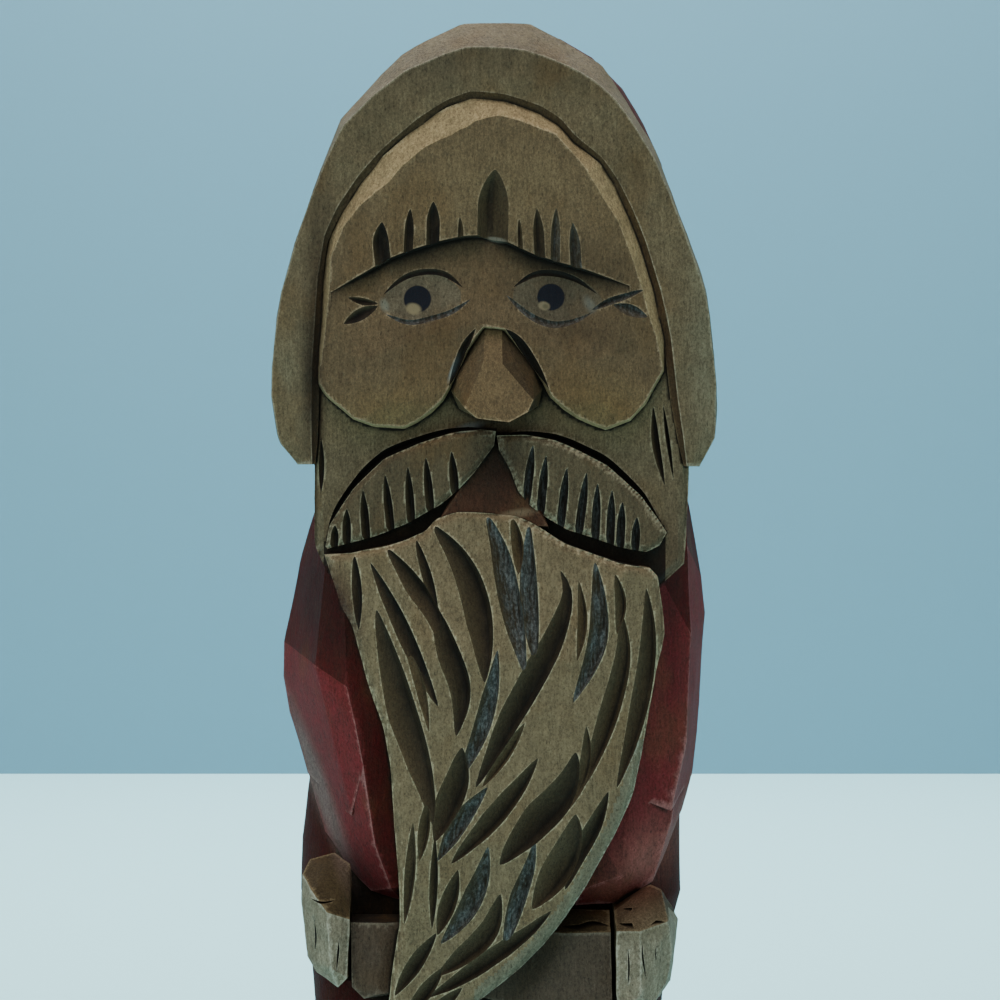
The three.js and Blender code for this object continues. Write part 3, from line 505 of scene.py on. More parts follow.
def layer(outline, spec):
    # A raised layer: a block with a carved front, kept inside an upright wall along the outline.
    # Its front falls by drop towards the outline, over the width of its edge. With a chamfer,
    # the wall leans in over the front instead, as a flat cut of that width.
    pitch, margin = spec["pitch"], layerSet["margin"]
    low, high = outline.min(axis=0) - margin, outline.max(axis=0) + margin
    x, z = np.meshgrid(np.arange(low[0], high[0], pitch), np.arange(low[1], high[1], pitch))
    plain = spec["front"](x, z)
    marks = scoops(np.stack([x, plain, z], axis=-1), spec["size"], spec["seed"])
    fall = spec["drop"] * np.clip(1 - edgeDistance(x, z, outline) / spec["edge"], 0, 1) ** 1.4
    front = plain + spec["relief"] * marks - fall
    zoneAt = spec.get("zoneAt", lambda x, z: np.full(x.shape, zoneOf[spec["zone"]]))
    middle = (x[:-1, :-1] + pitch / 2, z[:-1, :-1] + pitch / 2)
    block = frontBlock(x, front, z, spec["back"], zoneAt(*middle))
    return combined(block, [wallOf(outline, spec)], "INTERSECT")


print("forms and knife marks ready")


# Base, boots, hem, coat and hood

baseSet = {
    "width": 86, "depth": 76, "corner": 15, "relief": 0.22,
    "cornerPoints": 14, "around": 150,  # points drawn in a corner, and put evenly around a ring
    "insets": [1.6, 0, 0, 0, 0, 0, 1.6, 5, 9, 12],  # of each ring from the underside to the middle
    "heights": [-9, -7.4, -6, -4.5, -3, -1.6, 0, 0, 0, 0],
}


def base():
    # a slab with round corners and a chamfer: each ring is a rounded rectangle drawn in by an
    # inset, its corner radius shrinking with it
    c = baseSet
    corner = np.repeat([0, 1, 2, 3], c["cornerPoints"])
    angle = np.radians(90 * corner + np.tile(np.linspace(0, 90, c["cornerPoints"]), 4))
    signX, signY = np.array([1, -1, -1, 1])[corner], np.array([1, 1, -1, -1])[corner]
    rings = []
    for inset, height in zip(c["insets"], c["heights"]):
        radius = max(c["corner"] - inset, 1.0)
        x = signX * (c["width"] / 2 - inset - radius) + radius * np.cos(angle)
        y = signY * (c["depth"] / 2 - inset - radius) + radius * np.sin(angle)
        ring = evenly(np.vstack([np.stack([x, y], axis=1), [[x[0], y[0]]]]), c["around"])[:-1]
        rings.append(np.column_stack([ring[:, 0], ring[:, 1], np.full(len(ring), height)]))
    rings = np.stack(rings)
    outward = np.stack([rings[:, :, 0] / (c["width"] / 2), rings[:, :, 1] / (c["depth"] / 2)], axis=-1)
    marks = c["relief"] * scoops(rings, (9, 9, 9), 3)
    marks[[0, -1]] = 0
    rings[1:-1, :, :2] += outward[1:-1] * marks[1:-1, :, None]
    return loft(rings, zoneOf["base"], (0, 1))


def boot(side):
    # one boot, left (-1) or right (1), with a sloping instep and a broad toe
    sunk, inner, outer = -2, 2.2 * side, 26 * side
    corners = [
        (inner, -12, sunk), (outer, -12, sunk), (inner, -12, 20), (outer, -12, 20),
        (inner + 1.5 * side, 33, sunk), (outer - 4 * side, 32, sunk),
        (inner + 6 * side, 36.5, sunk), (outer - 9 * side, 36, sunk),
        (inner + 6 * side, 36.5, 4), (outer - 9 * side, 36, 4),
        (inner + 1 * side, 32, 6), (outer - 2 * side, 28, 6),
        (inner + 6 * side, 31, 11), (outer - 8 * side, 30, 11),
        (inner + 3 * side, 22, 15.5), (outer - 4 * side, 20, 15.5),
    ]
    return chunk("boot", corners, finish("boot"))


# Rings are height, left, right, front, back
hem = {
    "rings": [
        (14, -38.5, 38, 32, -31), (17, -42, 41.5, 35.5, -34), (23, -42.6, 42, 36, -34.4),
        (29, -42, 41.4, 35.4, -34), (33, -38.5, 38, 32, -30.5),
    ],
    "finish": "furSide", "pitch": 1.5, "relief": 0.35, "size": (7, 7, 7), "seed": 102,
}
coat = {
    "rings": [
        (-2, -31, 31, 22, -24), (16, -32, 32, 23, -25), (22, -39, 38.5, 31.5, -31),
        (34, -39.2, 38.4, 31.4, -31), (52, -38.4, 37.2, 30, -30.6), (74, -37.8, 36, 28.4, -30.6),
        (90, -37.6, 35.5, 26.6, -31), (97, -38.2, 36.2, 23, -31.4), (101, -38.6, 37, 14, -31.6),
        (112, -41, 39.8, 13, -32.2), (123, -40.8, 39.8, 13, -32.6), (137, -39, 39.6, 15, -33),
        (160, -38.6, 39.4, 18, -33), (178, -37.6, 40, 19, -32), (190, -36.8, 39.6, 20, -29.6),
        (202, -35.4, 37.8, 21, -25),
    ],
    "finish": "coat", "pitch": 2.3, "relief": 0.4, "size": (10, 10, 16), "seed": 101,
    # the hollow between the cuffs is painted black as shadow
    "shade": {"front": 4, "low": 106, "high": 124, "half": 33},  # the hollow between the cuffs
}
hood = {
    "rings": [
        (190, -31, 33.5, 14, -29), (199, -35.4, 37, 18, -30.6), (206, -40.6, 41.2, 18, -32.6),
        (217, -43, 43.2, 18, -34), (229, -42.4, 42.6, 18, -34.2), (241, -40.6, 40.8, 18, -33.4),
        (252, -38.6, 38.8, 18, -31.4), (265.4, -34.6, 35.2, 17, -27), (273.6, -30.4, 31.4, 16, -22.6),
        (280.8, -25.6, 27, 16, -17.6), (286.7, -19.4, 20.8, 17, -12), (290.4, -13, 14.4, 14, -8),
        (292.4, -6, 8, 9, -3),
    ],
    "finish": "cap", "pitch": 1.8, "relief": 0.4, "size": (11, 11, 13), "seed": 103,
}


def stack(c, around=120):
    # level squarish ovals, |u|^3 + |v|^3 = 1 stretched to each height's four sides, which run
    # straight from one given height to the next
    rows = np.array(c["rings"], float)
    z = np.arange(rows[0, 0], rows[-1, 0], c["pitch"])
    z = np.unique(np.concatenate([z, rows[:, 0]]))
    left, right, front, back = (np.interp(z, rows[:, 0], rows[:, k])[:, None] for k in range(1, 5))
    angle = 2 * np.pi * (np.arange(around) + 0.5) / around
    angle = angle + 0.11 * np.sin(4 * angle)  # spreads the points more evenly over the sides
    bend = lambda v: np.sign(v) * np.abs(v) ** (2 / 3)
    u, v = bend(np.cos(angle)), bend(np.sin(angle))
    x = (left + right) / 2 + (right - left) / 2 * u
    y = (front + back) / 2 + (front - back) / 2 * v
    rings = np.stack([x, y, z[:, None] + 0 * x], axis=-1)
    outward = np.stack([u * np.abs(u), v * np.abs(v)], axis=-1)
    outward /= np.linalg.norm(outward, axis=-1, keepdims=True)
    marks = c["relief"] * scoops(rings, c["size"], c["seed"])
    rings[:, :, :2] += outward[None] * marks[..., None]
    return loft(rings, zoneOf[c["finish"]], (0, 1))


# Shallow folds down the skirt, in front and behind, each cut upwards from the hem
foldSets = [
    {"places": [-29, -17, -5, 8, 20, 30], "side": 1, "top": 78, "stagger": 5, "fall": 0.06},
    {"places": [-26, -13, 1, 14, 27], "side": -1, "top": 112, "stagger": 14, "fall": 0.01},
]
fold = {
    "foot": 36, "width": 4.6, "depth": 1.4, "front": 31.2, "bow": 0.0045,
    "flare": 1.04, "gather": 0.86,  # x at foot and top, as shares of x half way up
}


def folds():
    # one tool pass for each place, its tops staggered, on a surface that bows back to the sides
    cuts = []
    foot = fold["foot"]
    for s in foldSets:
        surface = lambda x, z, s=s: fold["front"] - fold["bow"] * x * x - s["fall"] * (z - foot)
        for i, x in enumerate(s["places"]):
            top = s["top"] + s["stagger"] * (i % 3)
            line = [
                (x * fold["flare"], foot + 2 * (i % 2)), (x, (foot + top) / 2), (x * fold["gather"], top),
            ]
            cuts.append(gouge(line, fold["width"], fold["depth"], surface, "coat", side=s["side"], steps=30))
    return cuts


# Arms: each sleeve is two lumps, left ones first, with a broad ridge between knife facets

sleeveCorners = [
    [
        (-37, 4, 194), (-38.6, 2, 189), (-39.9, 2, 184), (-41.8, 1, 173), (-43.9, 1, 165.3),
        (-44.1, 1, 158.1), (-42.7, 1, 150.5), (-40.8, 2, 144.8), (-39, 3, 137.9),
        (-36.2, 20.5, 162), (-29.6, 24, 157.9), (-27.9, 24.6, 150.6), (-26.3, 24, 142),
        (-29, 19, 131), (-34, 17, 186), (-30.4, 21, 180), (-18, 22, 160), (-14, 20, 142),
        (-35, -16, 190), (-41.4, -15, 163), (-39, -14, 144), (-20, -10, 130), (-14, -10, 180),
    ],
    [
        (-42.5, 1, 150.5), (-38.9, 2, 137.9), (-37.3, 4, 132.4), (-35.2, 6, 126.1),
        (-30.4, 9, 119.1), (-25.3, 12, 114.5), (-19, 13, 112.6), (-27.6, 24, 150),
        (-26.3, 24, 142), (-24, 22.4, 125.5), (-20.8, 19.6, 116.1), (-31.4, 18, 140),
        (-30, 15, 125), (-14, 19, 118), (-14, 20, 142), (-38, -12, 146), (-20, -8, 122),
        (-14, -8, 150),
    ],
    [
        (39.6, 3, 199), (41.2, 2, 192), (42.3, 2, 185.4), (43.7, 1, 179.1), (44.4, 1, 171.4),
        (43.4, 1, 160.2), (42.8, 1, 146.3), (41.7, 2, 137.3), (40, 13, 186), (40.6, 15, 168),
        (39.6, 17, 146), (36.4, 18.4, 132), (31, 21.6, 150), (32, 20, 184), (16, 22, 140),
        (37, -15, 190), (42, -15, 166), (40.4, -14, 142), (18, -10, 130), (15, -10, 184),
    ],
    [
        (42.7, 1, 146.3), (41.6, 2, 137.3), (39.6, 4, 130.3), (36.6, 16, 129.4),
        (32.8, 15, 116.8), (25.8, 15, 112.3), (17, 15, 112), (38.6, 17.4, 146),
        (26, 20.4, 119), (17, 19, 115.5), (30, 21.4, 148), (14, 22, 140), (39.8, -12, 148),
        (18, -8, 122), (15, -8, 150),
    ],
]
cuffCorners = [
    [
        (-38.5, 23.4, 111.2), (-37.8, 23.4, 103), (-35.5, 24.4, 99.8), (-31.4, 26.4, 97.2),
        (-29.4, 27.2, 99.2), (-29, 27.6, 111.2), (-33.4, 29.4, 112.9), (-32.6, 29, 101.4),
        (-36.6, 26.4, 116.7), (-38.9, 21, 119.4), (-37.6, 16.5, 121.8), (-32.6, 15.5, 123),
        (-29.4, 18, 121), (-28.9, 20, 118.1), (-30.8, 26, 114.5), (-29.2, 8, 98.6),
        (-38.4, 8, 101), (-40, 8, 112),
    ],
    [
        (24.9, 27.4, 108.8), (33.2, 26.6, 109.8), (35.4, 25.4, 110.4), (36.4, 24, 103.7),
        (35.2, 24, 97.6), (31.6, 26.4, 92.6), (25.4, 27.4, 91.6), (24.9, 27.4, 96),
        (29.6, 28.8, 109), (29.8, 28.6, 96), (24.7, 21, 111.8), (32.4, 17.5, 116.7),
        (34.4, 17.5, 115.7), (35.8, 18.5, 112.2), (24.8, 8, 92), (37, 8, 95), (38.6, 8, 108),
        (24.8, 8, 112),
    ],
]
mittenCorners = [
    [
        (-28.9, 25.2, 110.2), (-21.7, 25.8, 110.2), (-18, 22.4, 110.4), (-28.6, 25, 97),
        (-26.2, 24.6, 94.5), (-23.6, 25.4, 95.5), (-18, 22.4, 97), (-28.9, 18, 110.6),
        (-19.3, 18, 110.6), (-28.9, 8, 96), (-8, 8, 96), (-8, 21, 110), (-8, 21, 97),
    ],
    [
        (23.8, 25.4, 108.2), (15, 26.4, 108.2), (-4, 24, 109), (24.2, 25.2, 93.6), (20, 26, 92),
        (8, 26.8, 93), (-4, 24, 95), (23.8, 18, 111.5), (15, 18, 110.4), (-6, 12, 111),
        (24, 8, 93), (-6, 8, 94),
    ],
]


def sleeveZone(centre, normal):
    # painted shade, dark red where a facet looks up or towards the beard, and painted light, paler pink on
    # the outside
    outward = normal[:, 0] * np.sign(centre[:, 0])
    return np.where((normal[:, 2] > 0.1) | (outward < 0.02), zoneOf["sleeve"], zoneOf["sleeveLitSide"])


def cuffZone(centre, normal):
    # raw wood on top and on the side towards the beard
    dark = (normal[:, 0] * np.sign(centre[:, 0]) < -0.5) & (centre[:, 1] > 14)
    return np.where(dark, zoneOf["rawTop"], finish("cuff", "rawTop")(centre, normal))


# Cracks where the wood broke out: line, width, depth, front at their level, its fall upwards
crackLevel = 108
cracks = [
    ([(24.4, 110.1), (28, 109.8), (31, 110.3), (35.2, 110.3)], 0.75, 2.6, 29.6, 1.9),
    ([(25.2, 112.2), (29.4, 112.4), (33.9, 112.1)], 0.45, 2.4, 30.2, 1.9),
    ([(30.6, 108.6), (30.1, 105), (30.6, 101), (31.4, 95)], 0.5, 1.0, 28.8, 0),
    ([(33.0, 107), (32.9, 103.6), (33.3, 100.2)], 0.4, 0.8, 27.4, 0),
    ([(27.2, 106), (27.4, 101), (27.1, 96)], 0.35, 0.6, 28.2, 0),
    ([(13.6, 109.2), (17.4, 109.0), (20.2, 109.5), (24.2, 109.1)], 0.7, 2.8, 26.8, 2.8),
    ([(-38, 115.6), (-34.4, 114.6), (-30.6, 115.2)], 0.4, 2.2, 33.2, 0.85),
    ([(-36.2, 111.0), (-35.9, 107), (-36.4, 102.4)], 0.35, 0.8, 26.0, 0),
    ([(-31.4, 108.8), (-31.2, 105.4), (-31.6, 101)], 0.35, 0.8, 28.2, 0),
]


def crackCuts():
    # narrow passes on a plane that falls back upwards
    cuts = []
    for line, width, depth, front, fall in cracks:
        surface = lambda x, z, f=front, k=fall: f - k * (z - crackLevel)
        cuts.append(gouge(line, width, depth, surface, "rawTop", "vee", 0.9, steps=16, across=6))
    return cuts


def arms():
    # sleeves, cuffs and mittens as faceted blocks that sink into each other
    sleeves = [chunk("sleeve", corners, sleeveZone, i) for i, corners in enumerate(sleeveCorners)]
    cuffs = [chunk("cuff", corners, cuffZone) for corners in cuffCorners]
    left, right = mittenCorners
    mittens = [
        # the left mitten's top is painted black as the shadow under the cuff and beard
        chunk("mitten", left, finish("mitten", "paintedShadowBlack")),
        chunk("mitten", right, finish("mitten", "rawTop"), 1),
    ]
    return sleeves + cuffs + mittens


# Fur brim of the hood

brim = {
    "outer": [
        (-39.7, 203), (-43.6, 207.4), (-45.5, 217), (-45, 227), (-43.4, 238), (-39.4, 250.9),
        (-31, 272.9), (-18.5, 286.4), (-6.2, 292.5), (7.4, 292.3), (22.1, 284.2), (33.2, 266.6),
        (43.7, 238), (45.8, 219), (45.4, 208.4), (41.9, 202.6),
    ],
    "inner": [
        (-36.1, 203.1), (-35.8, 223.2), (-35.3, 231), (-34.8, 240.2), (-33.5, 248.6), (-31, 254),
        (-26.8, 260.1), (-22, 265.5), (-14.7, 271.6), (-9.3, 275.1), (-4.4, 276.9), (2.2, 276.3),
        (9.5, 273.9), (13.2, 271.5), (16.2, 268), (21.6, 263.7), (24.7, 259.4), (27.7, 253.4),
        (30.2, 247.3), (33.3, 237.1), (35.2, 228), (36.6, 216), (38.7, 202.7),
    ],
    "stations": 200,
    "relief": 0.6,
    "scoop": (8, 12, 8),
    "facet": [(240, 0.9), (266, 0.84), (279, 0.78), (286, 0.7), (292, 0.61)],  # z, share of the way out
    "lobes": (278, 60),  # where the sides start to fall back, and over what height
    "section": [  # finish, steps, share of the way out, front, how much less of it at the lobes
        # the lip stations take the brown painted shade, and the upper facet the fur painted lighter as lit
        ("paintedShadeBrown", 3, -0.1, 0, 0),
        ("paintedShadeBrown", 2, -0.1, 27, 0),
        ("paintedShadeBrown", 3, 0, 27.5, 0),
        ("furFront", 20, 0.05, 28.1, 0),
        ("furTop", 14, "facet", 28.5, 2.4),
        ("furSide", 8, 0.97, 21, 2),
        ("furSide", 5, 1, 13, 0),
        ("paintedShadeBrown", 2, 0.985, 2, 0),
    ],
}


def brimSection(z):
    # shares of the way from the inner line to the outer one, and how far forward it is there;
    # the edge between its two facets moves out towards the lobes
    start, height = brim["lobes"]
    side = np.clip((start - z) / height, 0, 1)
    edge = heightAt(brim["facet"], z)
    shares = [edge if share == "facet" else share + 0 * z for _, _, share, _, _ in brim["section"]]
    fronts = [front - less * side for _, _, _, front, less in brim["section"]]
    return np.stack(shares), np.stack(fronts)


def furBrim():
    # A section carried along the arch. It runs as straight stretches, each split evenly, and
    # knife marks move it along its own slope.
    outer, inner = knifeLine(brim["outer"], brim["stations"]), knifeLine(brim["inner"], brim["stations"])
    share, front = brimSection(outer[:, 1])
    shares, fronts, zones = [], [], []
    for k, (name, count, *_) in enumerate(brim["section"]):
        part = (np.arange(count) / count)[:, None]
        after = (k + 1) % len(brim["section"])
        shares.append(share[k] + (share[after] - share[k]) * part)
        fronts.append(front[k] + (front[after] - front[k]) * part)
        zones += [zoneOf[name]] * count
    share, front = np.vstack(shares).T, np.vstack(fronts).T
    x = inner[:, :1] + (outer - inner)[:, :1] * share
    z = inner[:, 1:] + (outer - inner)[:, 1:] * share
    rings = np.stack([x, front, z], axis=-1)
    marks = brim["relief"] * scoops(rings, brim["scoop"], 41)
    marks[[0, -1]] = 0
    away = (outer - inner) / np.linalg.norm(outer - inner, axis=1, keepdims=True)
    tilt = np.clip((share - 0.5) * 1.6, 0, 1)
    rings[:, :, 0] += marks * tilt * away[:, :1]
    rings[:, :, 2] += marks * tilt * away[:, 1:]
    rings[:, :, 1] += marks * (1 - np.abs(tilt)) * (front > 20)
    return loft(rings, np.array(zones)[None, :], (0, 1))


print("body, arms and brim drawn")


# Face

face = {
    "planes": [
        {"at": (0, 228), "front": 31, "up": 0.03},
        {"at": (-21, 228), "front": 31, "right": -0.16, "up": 0.03},
        {"at": (21, 228), "front": 31, "right": 0.16, "up": 0.03},
        {"at": (0, 214.5), "front": 31.2, "up": -0.22},
    ],
    "outline": [
        (-35.3, 223.2), (-35, 230.4), (-34.5, 240), (-33.1, 248.4), (-30.7, 253.8), (-26.5, 259.8),
        (-21.8, 265.1), (-14.6, 271.1), (-9.2, 274.6), (-4.4, 276.4), (2.2, 275.8), (9.4, 273.4),
        (13, 271.1), (16, 267.6), (21.4, 263.3), (24.4, 259.1), (27.4, 253.1), (29.8, 247.1),
        (32.9, 236.9), (34.7, 228), (34.4, 221.8), (32.6, 218.6), (30.6, 215), (27.6, 211.8),
        (22.6, 210), (19.8, 211), (17, 212.2), (14.2, 214), (11.4, 216.6), (10, 219.4), (7, 223.6),
        (2.2, 229.8), (-1.8, 230.2), (-5, 225.6), (-7, 221), (-8.6, 218), (-10, 215.8), (-12.4, 213.4),
        (-15.2, 211.4), (-17.8, 210.2), (-23.8, 210.6), (-28, 212), (-29.6, 213.4), (-32, 215.4),
        (-33.8, 217), (-35.2, 219.2),
    ],
    "bevel": [
        (-34.6, 222), (-33.5, 232.1), (-32.9, 238.5), (-32.5, 244.9), (-30.1, 250.6), (-27.5, 254.4),
        (-24.3, 257.6), (-20.5, 260.8), (-14.1, 266.3), (-8.9, 268.9), (-2.6, 272.1), (1.8, 272.7),
        (5.6, 271.7), (12.5, 268.9), (18.3, 262.5), (21.5, 258.2), (25.3, 251.8), (28.5, 243.7),
        (31.1, 234.7), (32.9, 228.4), (34, 222),
    ],
    "bevelDrop": 2.4,
    "bevelRange": (0.5, 5),  # least and greatest width
    "bevelPlace": {"low": 223, "high": 250, "half": 12},  # above low, and there beside the nose
    "brow": [
        (-32.5, 237.5), (-24.7, 241.7), (-20.5, 244), (-15.7, 245.8), (-10.4, 247.4), (-6.2, 248.3),
        (-2.6, 248.5), (0.4, 247.8), (2.8, 247.2), (8.2, 244.7), (13, 243.2), (18.4, 241.7), (27.3, 238.8),
    ],
    "browDepth": 2.9,
    "browReach": 21,
    "browFade": 9,
    "browRunOut": 1.2,
    "browLid": (1.5, 9),  # how far above the brow and in front of the face the cut's form is closed
    "browStain": (1, 0.75, 0.34, 0.14, 0.05),  # down the slope's first steps
    "browSteps": 26,
}


def faceFront(x, z):
    # the face before the brow is cut back
    return frontOf(face["planes"], x, z)


def lineDistance(x, z, line):
    # distance to the nearest of the points put along an open line
    places = evenly(np.array(line, float), 400)
    return np.hypot(x[..., None] - places[:, 0], z[..., None] - places[:, 1]).min(axis=-1)


def bevelWidth(x, z):
    # the chamfer is as wide as the bevel line lies inside the outline, and thin elsewhere
    c = face["bevelPlace"]
    least, most = face["bevelRange"]
    wide = (z > c["low"]) & ((np.abs(x) > c["half"]) | (z > c["high"]))
    return np.where(wide, np.clip(lineDistance(x, z, face["bevel"]), least, most), least)


def faceLayer():
    # forehead and cheeks: one layer with a chamfer along its upper edge
    outline = evenly(np.array(face["outline"] + face["outline"][:1]), 360)[:-1]
    spec = {
        # its walls are finished in the brown painted shade
        "front": faceFront, "back": 4, "pitch": 0.7, "zone": "skin", "wallZone": "paintedShadeBrown",
        "drop": 0, "edge": 1, "relief": 0.16, "size": (9, 8, 10), "seed": 51,
        "chamfer": {"zone": "gold", "drop": face["bevelDrop"], "width": bevelWidth},
    }
    return layer(outline, spec)


def browDepth(x):
    # how deep the cut is under the brow, dying out to both ends
    line = face["brow"]
    inside = np.minimum(x - line[0][0], line[-1][0] - x) / face["browFade"]
    return face["browDepth"] * np.clip(inside, 0.06, 1)


def browCut():
    # Under the brow the wood is cut back, most at the brow's lower edge and not at all a reach
    # further down. The section is that slope, in steps, closed well in front of the face.
    line = knifeLine(face["brow"], 90)
    x, z = line[:, :1], line[:, 1:]
    ground = faceFront(x, z)
    down = np.linspace(0, 1, face["browSteps"] + 1)[None, :]
    slopeZ = z - face["browReach"] * down
    slope = (ground - browDepth(x)) * (1 - down) + (ground + face["browRunOut"]) * down
    slope = slope + 0.14 * scoops(np.stack([x + 0 * slopeZ, slope, slopeZ], axis=-1), (7, 6, 8), 61)
    above, before = face["browLid"]
    topZ = np.hstack([z - face["browReach"], z + above])
    topFront = np.hstack([ground + before, ground + before])
    front, height = np.hstack([slope, topFront]), np.hstack([slopeZ, topZ])
    rings = np.stack([x + 0 * front, front, height], axis=-1)
    zones = np.full(front.shape[1], zoneOf["skin"])
    zones[-1] = zoneOf["darkCut"]
    form = loft(rings, zones[None, :], (1, 2))
    heavy = 0.35 + 0.65 * np.exp(-((np.abs(x + 2) - 12) / 8) ** 2)  # most above both eyes
    stainAndShade = np.zeros(front.shape)
    stainAndShade[:, :len(face["browStain"])] = heavy * face["browStain"]
    stainAndShade[:, -1] = 1
    form["stainAndShade"] = stainAndShade.ravel()
    return form


def eyeGround(x, z):
    # the surface below the brow
    brow = heightAt(face["brow"], x)
    ground = faceFront(x, brow)
    share = np.clip((brow - z) / face["browReach"], 0, 1)
    slope = (ground - browDepth(x)) * (1 - share) + (ground + face["browRunOut"]) * share
    return np.minimum(slope, faceFront(x, z))


# Cuts in the face: line, width, depth, finish, kind, how dark
eyeCuts = [
    ([(-5.2, 236.6), (-13.8, 236.5), (-23, 235)], 8.2, 0.45, "eyeball", "dish", 0),
    ([(2.8, 237.2), (12.6, 236.2), (22.4, 235.4)], 8.8, 0.45, "eyeball", "dish", 0),
    ([(-5, 237.6), (-9.6, 241.1), (-13.8, 241.5), (-17.8, 240.3), (-23, 236.2)],
     1.4, 0.6, "browCut", "vee", 1.0),
    ([(3, 237.9), (8.4, 241), (12, 241.2), (16.4, 240), (22, 236.4)], 1.5, 0.6, "browCut", "vee", 1.0),
    ([(-3.4, 236.9), (-7.6, 234), (-12.4, 232.4), (-17, 231.6), (-22.6, 233.6)],
     1.3, 0.6, "lidCut", "vee", 0.8),
    ([(1.6, 238), (5, 234.8), (8.4, 232.4), (12, 231.2), (16, 231.8), (21.6, 234.4)],
     1.6, 0.7, "lidCut", "vee", 0.7),
    ([(18.6, 233.4), (23.2, 235.6), (26.2, 236.6), (30.6, 238.2)], 1.3, 0.7, "lidCut", "vee", 0.9),
    ([(-22.6, 235.2), (-26, 235.7), (-29.4, 236.6)], 1.3, 0.7, "darkCut", "vee", 0.8),
    ([(-22.6, 235), (-26, 233.4), (-30.2, 231)], 2.1, 0.9, "darkCut", "vee", 0.9),
    ([(23.6, 235), (26.8, 233.9), (31.2, 232.3)], 2.2, 0.8, "lidCut", "flute", 0.8),
]
notches = [  # line, width, finish, dark
    ([(-22, 252), (-22.2, 247.7), (-21.6, 242)], 3.0, "darkCut", 0.95),
    ([(-16.4, 254.7), (-16.6, 250), (-16.9, 244)], 1.7, "darkCut", 0.9),
    ([(-11.8, 256.1), (-11.8, 251.8), (-11.9, 246)], 2.4, "darkCut", 0.95),
    ([(0.7, 262.8), (0.4, 256.6), (0.2, 246)], 5.6, "browCut", 0.4),
    ([(8.8, 254.8), (9.2, 249.4), (9.6, 242.6)], 2.0, "browCut", 0.55),
    ([(12.7, 255), (12.6, 249.4), (12.5, 241.6)], 1.7, "lidCut", 0.4),
    ([(15.9, 251.8), (16.4, 247.1), (16.8, 240.6)], 2.0, "lidCut", 0.5),
    ([(-6.6, 252.8), (-6.4, 250), (-6.5, 246)], 1.0, "browCut", 0.35),
    ([(5.2, 252.6), (5.4, 249.6), (5.6, 245)], 0.9, "browCut", 0.3),
]
notchDepth = {"flat": 0.3, "share": 0.4}  # and so much of the width
noseLines = [
    ([(-3, 231), (-5.3, 227.2), (-7, 222.6), (-9.2, 216.8)], 1.8, 1.4, 0.75),
    ([(0.4, 230.8), (3.8, 228.8), (7.4, 223.4), (12, 215.8)], 2.6, 1.9, 0.95),
]


def faceCuts():
    # eyes, lids and crow's feet, then brow notches, then the cuts beside the nose
    cuts = [
        gouge(line, width, depth, eyeGround, zone, kind, dark, steps=30, across=12 if kind == "dish" else 8)
        for line, width, depth, zone, kind, dark in eyeCuts
    ]
    for line, width, zone, dark in notches:
        depth = notchDepth["share"] * width + notchDepth["flat"]
        cuts.append(gouge(line, width, depth, faceFront, zone, "notch", dark, steps=18))
    # the cuts beside the nose take the nose's painted shade
    for line, width, depth, dark in noseLines:
        cuts.append(gouge(line, width, depth, faceFront, "noseSide", "vee", dark, steps=26))
    return cuts


noseCorners = [
    (-1.6, 29, 230.6), (1.8, 29, 230.2), (-1.9, 33, 223.4), (1.9, 33, 223.2), (-5.6, 36.2, 214.4),
    (-3.2, 36.6, 212.4), (3.2, 36.8, 211.6), (6.9, 36, 213.6), (8, 35, 216), (-8.4, 29, 217.9),
    (-6.8, 28, 214.2), (9.9, 28.6, 218.2), (9.2, 28, 214.8), (-7.6, 28.6, 222), (8.2, 28.6, 223),
    (0, 24, 212.6), (-7, 20, 217), (8, 20, 217), (0, 20, 228),
]
mouthCorners = [
    (0, 27.6, 208), (-8.6, 28.6, 196), (9, 28.6, 195.4), (-11, 30.6, 191.6), (11, 30.6, 190.8),
    (0, 20, 208), (-12, 20, 188), (12, 20, 188),
]


forwardFacing = 0.84  # the nose's tip: a face whose normal's front part is more than this


def noseZone(centre, normal):
    # palest in front, with painted shade on the faces to the right
    side = np.where(normal[:, 0] < 0, zoneOf["nose"], zoneOf["noseSide"])
    return np.where(normal[:, 1] > forwardFacing, zoneOf["noseTip"], side)


def nose():
    # a wedge with a flat tip
    return chunk("nose", noseCorners, noseZone)


# Hair and moustache

